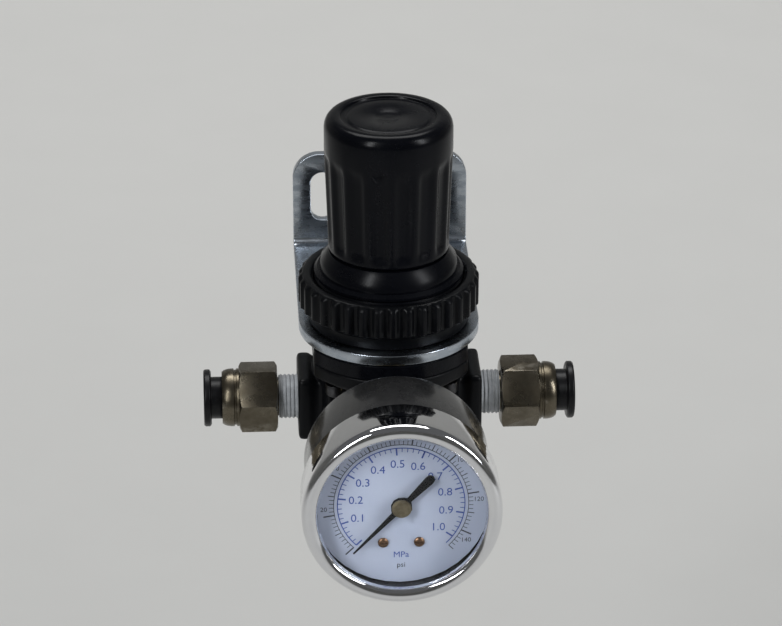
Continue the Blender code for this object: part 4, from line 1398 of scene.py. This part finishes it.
@dataclass
class DialPrint:
    """Scales, numbers and fixing screws on the dial: psi outside, MPa inside.

    Angles are in degrees clockwise from the top of the dial.
    """

    front: float = 51.1
    ink: float = 0.04
    zero: float = -135.0
    sweep: float = 270.0
    full_psi: float = 150.0
    mpa_in_psi: float = 145.04
    outer_line: float = 14.35
    inner_line: float = 13.55
    screw_x: float = 3.85
    screw_y: float = -9.0
    numbers: dict[str, float] = field(default_factory=lambda: {
        f"{tenths / 10:.1f}": tenths / 10 for tenths in range(1, 11)})

    def psi_angle(self, pressure: float) -> float:
        """Angle of a pressure in psi."""
        return self.zero + self.sweep * pressure / self.full_psi

    def tick(self, width: float, start: float, end: float) -> Piece:
        """One stroke of the scale at the top of the dial, between two radii."""
        return block("tick", (-width / 2, start, self.front - 0.01),
                     (width / 2, end, self.front + self.ink))

    def strokes(self, width: float, start: float, end: float, angles: list[float]) -> list[Piece]:
        """Copies of one stroke at several angles."""
        pattern = self.tick(width, start, end)
        made = []
        for angle in angles:
            twin = twin_of(pattern, "stroke")
            twin.data.transform(Matrix.Rotation(-math.radians(angle), 4, "Z"))
            made.append(twin)
        bpy.data.objects.remove(pattern, do_unlink=True)
        return made

    def line(self, radius: float, width: float) -> Piece:
        """The arc that a scale's strokes stand on."""
        piece = block("line", (radius - width / 2, -0.005, self.front - 0.01),
                      (radius + width / 2, 0.005, self.front + self.ink))
        with editing(piece):
            pick_faces(piece, lambda place: place.y > 0)
            bpy.ops.mesh.spin(steps=120, angle=math.radians(self.sweep), center=(0.0, 0.0, 0.0),
                              axis=(0.0, 0.0, 1.0))
        piece.data.transform(Matrix.Rotation(math.radians(90 - self.zero), 4, "Z"))
        tidy_mesh(piece)
        return piece

    def words(self, text: str, size: float, place: tuple[float, float]) -> Piece:
        """A number or unit, upright, with its middle at a place on the dial."""
        clear_selection()
        bpy.ops.object.text_add()
        piece = bpy.context.object
        piece.data.body = text
        piece.data.size = size * MM
        piece.data.align_x = "CENTER"
        piece.data.align_y = "CENTER"
        piece.data.resolution_u = 3
        piece.data.extrude = self.ink / 2 * MM
        bpy.ops.object.convert(target="MESH")
        piece = bpy.context.object
        piece.location = (place[0] * MM, place[1] * MM, (self.front + self.ink / 2 - 0.01) * MM)
        apply_place(piece)
        return piece

    def at(self, angle: float, radius: float) -> tuple[float, float]:
        """A place on the dial."""
        turn = math.radians(angle)
        return radius * math.sin(turn), radius * math.cos(turn)

    def outer_scale(self) -> Piece:
        """The black psi scale with its numbers and unit."""
        base = self.outer_line
        fine = [self.psi_angle(value) for value in range(0, 151, 2) if value % 10]
        middle = [self.psi_angle(value) for value in range(10, 151, 10) if value % 20]
        major = [self.psi_angle(value) for value in range(0, 141, 20)]
        made = self.strokes(0.13, base, base + 1.0, fine)
        made += self.strokes(0.18, base, base + 1.4, middle)
        made += self.strokes(0.30, base, base + 2.4, major)
        made.append(self.line(base, 0.14))
        for value in range(20, 141, 20):
            angle = self.psi_angle(value)
            made.append(self.words(str(value), 1.5, self.at(angle + 6.0, base + 2.15)))
        made.append(self.words("psi", 1.7, (0.0, -14.7)))
        return gather(made, "dial_outer_scale")

    def inner_scale(self) -> Piece:
        """The blue MPa scale with its numbers and unit."""
        edge = self.inner_line
        step = self.mpa_in_psi
        fine = [self.psi_angle(step * value / 50) for value in range(0, 51) if value % 5]
        major = [self.psi_angle(step * value / 10) for value in range(0, 11)]
        made = self.strokes(0.16, edge - 0.95, edge, fine)
        made += self.strokes(0.34, edge - 1.7, edge, major)
        made.append(self.line(edge, 0.22))
        for text, value in self.numbers.items():
            made.append(self.words(text, 2.6, self.at(self.psi_angle(step * value), 9.7)))
        made.append(self.words("MPa", 2.0, (0.0, -12.2)))
        return gather(made, "dial_inner_scale")

    def screws(self, shop: PaintShop) -> None:
        """Two slotted screws that hold the dial on the movement."""
        for name, sign in (("left", -1), ("right", 1)):
            piece = turned(f"dial_fixing_{name}", [
                (0.65, 44.6), (0.65, 51.35), (1.15, 51.35), (1.15, 51.55), (1.0, 51.75),
                (0.7, 51.88), (0.3, 51.92)], steps=32)
            shape_with(piece, Cut.CARVE, block("slot", (-1.5, -0.14, 51.62), (1.5, 0.14, 53.0)))
            piece.data.transform(Matrix.Translation((sign * self.screw_x * MM,
                                                     self.screw_y * MM, 0.0)))
            stand(piece, Axis.FRONT)
            shop.dress(piece, DIAL_COPPER, "housing", "yellow_brass", f"dial_screw_{name}")

    def build(self, shop: PaintShop) -> None:
        """Model and dress the print and the screws.

        Args:
            shop: Where the finishes come from.
        """
        for piece, finish in ((self.outer_scale(), PRINT_BLACK), (self.inner_scale(), PRINT_BLUE)):
            stand(piece, Axis.FRONT)
            shop.dress(piece, finish, "housing", "dial_white")
        self.screws(shop)


# ---------------------------------------------------------------- tube fittings

@dataclass
class TubeFitting:
    """One push-in fitting, measured outwards from the centre along its port."""

    flats: float = 14.0
    hex_start: float = 25.0
    hex_end: float = 33.6
    barrel: float = 6.5
    end: float = 37.4
    mouth: float = 5.4
    sleeve: float = 4.7
    tube: float = 4.15
    collar_start: float = 39.8
    collar_end: float = 41.5
    collar_radius: float = 6.4
    thread_pitch: float = 0.9
    turns: dict[Side, float] = field(default_factory=lambda: {Side.LEFT: -20.0,
                                                              Side.RIGHT: 30.0})

    def shell(self, turn: float) -> Piece:
        """Hexagon, grooved barrel and the threaded spigot."""
        piece = hexagon("fitting_shell", self.flats, self.hex_start, self.hex_end, turn)
        outline = [(self.barrel, self.hex_end - 1.0), (self.barrel, 34.1), (6.2, 34.25),
                   (6.2, 34.6), (self.barrel, 34.75), (self.barrel, 35.5), (6.4, 36.2),
                   (6.15, 36.9), (5.8, self.end), (self.mouth, self.end), (self.mouth, 26.6),
                   (2.9, 26.6), (2.9, 12.0), (4.1, 12.0), (4.35, 12.5), (4.35, 26.0),
                   (self.barrel, 26.0)]
        bore = turned("bore", [(self.mouth, 26.6), (self.mouth, 40.0)])
        shape_with(piece, Cut.CARVE, bore)
        shape_with(piece, Cut.JOIN, turned("barrel", outline, Ends.BORED))
        soften(piece, 0.12, segments=2)
        return piece

    def seal(self) -> Piece:
        """Sealant that fills the thread between the body and the hexagon."""
        outline = [(4.6, self.hex_start - 0.3), (4.6, 13.0)]
        outline += ridges([(4.7, 0.0), (4.95, 0.25), (4.95, 0.45), (4.75, 0.7)],
                          13.0, self.hex_start - 0.9, self.thread_pitch)
        outline.append((4.8, self.hex_start - 0.3))
        return turned("thread_filler", outline, Ends.BORED, 64)

    def collar(self) -> Piece:
        """Release collar with a round flange."""
        piece = turned("collar", [
            (self.tube, 33.0), (self.sleeve, 33.0), (self.sleeve, self.collar_start),
            (5.9, self.collar_start), (self.collar_radius, self.collar_start + 0.35),
            (self.collar_radius, self.collar_end - 0.35), (6.1, self.collar_end),
            (4.6, self.collar_end), (self.tube, self.collar_end - 0.45)], Ends.BORED)
        soften(piece, 0.1, segments=2)
        return piece

    def build(self, shop: PaintShop) -> None:
        """Put one fitting on each port, each screwed in to its own angle.

        Args:
            shop: Where the finishes come from.
        """
        for side in Side:
            piece = self.shell(self.turns[side])
            piece.name = f"fitting_shell_{side.value}"
            stand(piece, Axis[side.name])
            # The shells' nickel colour holds painted shade.
            shop.dress(piece, NICKEL_PLATE_PAINTED_SHADE, "housing", "fitting_nickel",
                       f"fitting_body_{side.value}")
        patterns = [(self.seal(), SEALANT, "thread_sealant", "thread_seal"),
                    (self.collar(), COLLAR_BLACK, "collar_black", "release_collar")]
        for pattern, finish, slot, node in patterns:
            for side in Side:
                piece = stand(twin_of(pattern, f"{pattern.name}_{side.value}"), Axis[side.name])
                body = f"{side.value}_collar" if node == "release_collar" else "housing"
                shop.dress(piece, finish, body, slot, f"{node}_{side.value}")
            bpy.data.objects.remove(pattern, do_unlink=True)


# ---------------------------------------------------------------- studio

@dataclass
class Studio:
    """Floor, backdrop, soft lights and the camera."""

    azimuth: float = -3.0
    elevation: float = 26.0
    distance: float = 0.80
    focal_length: float = 168.0
    aim: tuple[float, float, float] = (0.0, -0.052, -0.005)
    floor_height: float = -0.20
    cove_start: float = 2.2
    cove: float = 0.8
    rim_height: float = 1.6

    def surface(self, name: str, colour: Colour) -> bpy.types.Material:
        """Plain matt material with a very faint mottle."""
        material = bpy.data.materials.new(name)
        material.use_nodes = True
        tree = material.node_tree
        shader = tree.nodes["Principled BSDF"]
        shader.inputs["Roughness"].default_value = 0.9
        noise = add_node(tree, "TexNoise", {
            "Vector": add_node(tree, "TexCoord").outputs["Object"], "Scale": 30.0,
            "Detail": 4.0})
        paler = tuple(min(1.0, part * 1.04) for part in colour)
        mixed = add_node(tree, "Mix", {"Factor": noise.outputs[0], 6: (*colour, 1.0),
                                       7: (*paler, 1.0)}, data_type="RGBA")
        tree.links.new(mixed.outputs[2], shader.inputs["Base Color"])
        return material

    def ground(self) -> None:
        """Round floor that curves up into a low backdrop all the way round."""
        rise = [(self.cove_start + self.cove * math.sin(QUARTER * step / 16),
                 self.floor_height + self.cove * (1 - math.cos(QUARTER * step / 16)))
                for step in range(17)]
        outline = [(radius / MM, height / MM)
                   for radius, height in [(0.05, self.floor_height), *rise,
                                          (self.cove_start + self.cove, self.rim_height)]]
        clear_selection()
        bpy.ops.mesh.primitive_circle_add(vertices=ROUND, radius=outline[0][0] * MM,
                                          fill_type="NGON",
                                          location=(0.0, 0.0, self.floor_height))
        floor = bpy.context.object
        floor.name = "studio_floor"
        apply_place(floor)
        with editing(floor):
            for (radius, height), (next_radius, next_height) in zip(outline, outline[1:]):
                bpy.ops.mesh.extrude_region_move(
                    TRANSFORM_OT_translate={"value": (0.0, 0.0, (next_height - height) * MM)})
                grow = next_radius / radius
                bpy.ops.transform.resize(value=(grow, grow, 1.0), center_override=(0.0, 0.0, 0.0))
            bpy.ops.mesh.delete(type="ONLY_FACE")
        select_only(floor)
        bpy.ops.object.shade_smooth()
        floor.data.materials.append(self.surface("studio_paper", (0.60, 0.598, 0.58)))

    def softbox(self, name: str, place: tuple[float, float, float], size: tuple[float, float],
                power: float, colour: Colour = (1.0, 1.0, 1.0),
                target: tuple[float, float, float] | None = None) -> None:
        """A soft rectangular light that looks at the regulator, or at another place.

        Args:
            name: Name of the light.
            place: Where it stands, in metres.
            size: Width and height in metres.
            power: Power in watts.
            colour: Colour of the light.
            target: Where it looks, or None for the regulator.
        """
        data = bpy.data.lights.new(name, "AREA")
        data.shape = "RECTANGLE"
        data.size, data.size_y = size
        data.energy = power
        data.color = colour
        light = bpy.data.objects.new(name, data)
        bpy.context.scene.collection.objects.link(light)
        light.location = place
        aim = Vector(target or self.aim) - Vector(place)
        light.rotation_euler = aim.to_track_quat("-Z", "Y").to_euler()

    def lights(self) -> None:
        """Soft light from both sides and above, and a dim room."""
        self.softbox("left_softbox", (-0.50, -0.72, 0.46), (0.13, 0.60), 3.2, (0.96, 0.98, 1.0))
        self.softbox("right_softbox", (0.76, -0.50, 0.40), (0.16, 0.60), 3.6, (0.95, 0.97, 1.0))
        self.softbox("top_softbox", (0.0, 0.40, 0.95), (0.9, 0.5), 7.0,
                     target=(0.0, 0.50, self.floor_height))
        self.softbox("backdrop_light", (0.0, 0.6, 1.3), (1.8, 0.4), 16.0,
                     target=(0.0, 2.4, 0.5))
        world = bpy.data.worlds.new("studio_room")
        bpy.context.scene.world = world
        world.use_nodes = True
        room = world.node_tree.nodes["Background"]
        room.inputs["Color"].default_value = (0.80, 0.82, 0.85, 1.0)
        room.inputs["Strength"].default_value = 0.12

    def camera(self) -> None:
        """Camera that looks slightly down at the gauge."""
        data = bpy.data.cameras.new("camera")
        data.lens = self.focal_length
        data.sensor_width = 36.0
        data.clip_start = 0.01
        camera = bpy.data.objects.new("camera", data)
        bpy.context.scene.collection.objects.link(camera)
        across, up = math.radians(self.azimuth), math.radians(self.elevation)
        away = Vector((math.sin(across) * math.cos(up), -math.cos(across) * math.cos(up),
                       math.sin(up)))
        camera.location = Vector(self.aim) + away * self.distance
        camera.rotation_euler = (-away).to_track_quat("-Z", "Y").to_euler()
        bpy.context.scene.camera = camera

    def build(self) -> None:
        """Set up the whole studio."""
        self.ground()
        self.lights()
        self.camera()
        bpy.context.scene.view_settings.view_transform = "Standard"


def main() -> None:
    """Build every sub-assembly, then the studio."""
    logging.basicConfig(level=logging.INFO, format="%(name)s: %(message)s")
    shop = PaintShop()
    main_spring = Spring("main_spring", "adjusting_spring", "nut_travel", radius=8.0, wire=1.05,
                         low=15.0, high=43.7, turns=6.5, stroke=8.0)
    poppet_spring = Spring("poppet_spring", "valve_spring", "valve_travel", radius=3.3,
                           wire=0.35, low=-10.6, high=-4.7, turns=5.0, stroke=1.2)
    for assembly in (Casting(), BonnetScrews(), Bonnet(), PanelNut(), Knob(), Bracket(),
                     ValvePlug(), RearPlug(), Diaphragm(), main_spring, poppet_spring,
                     GaugeShell(), DialPrint(), TubeFitting()):
        assembly.build(shop)
    for node, finish in CARRIED_OVER.items():
        shop.dress_node(node, finish)
    Studio().build()


if __name__ == "__main__":
    main()
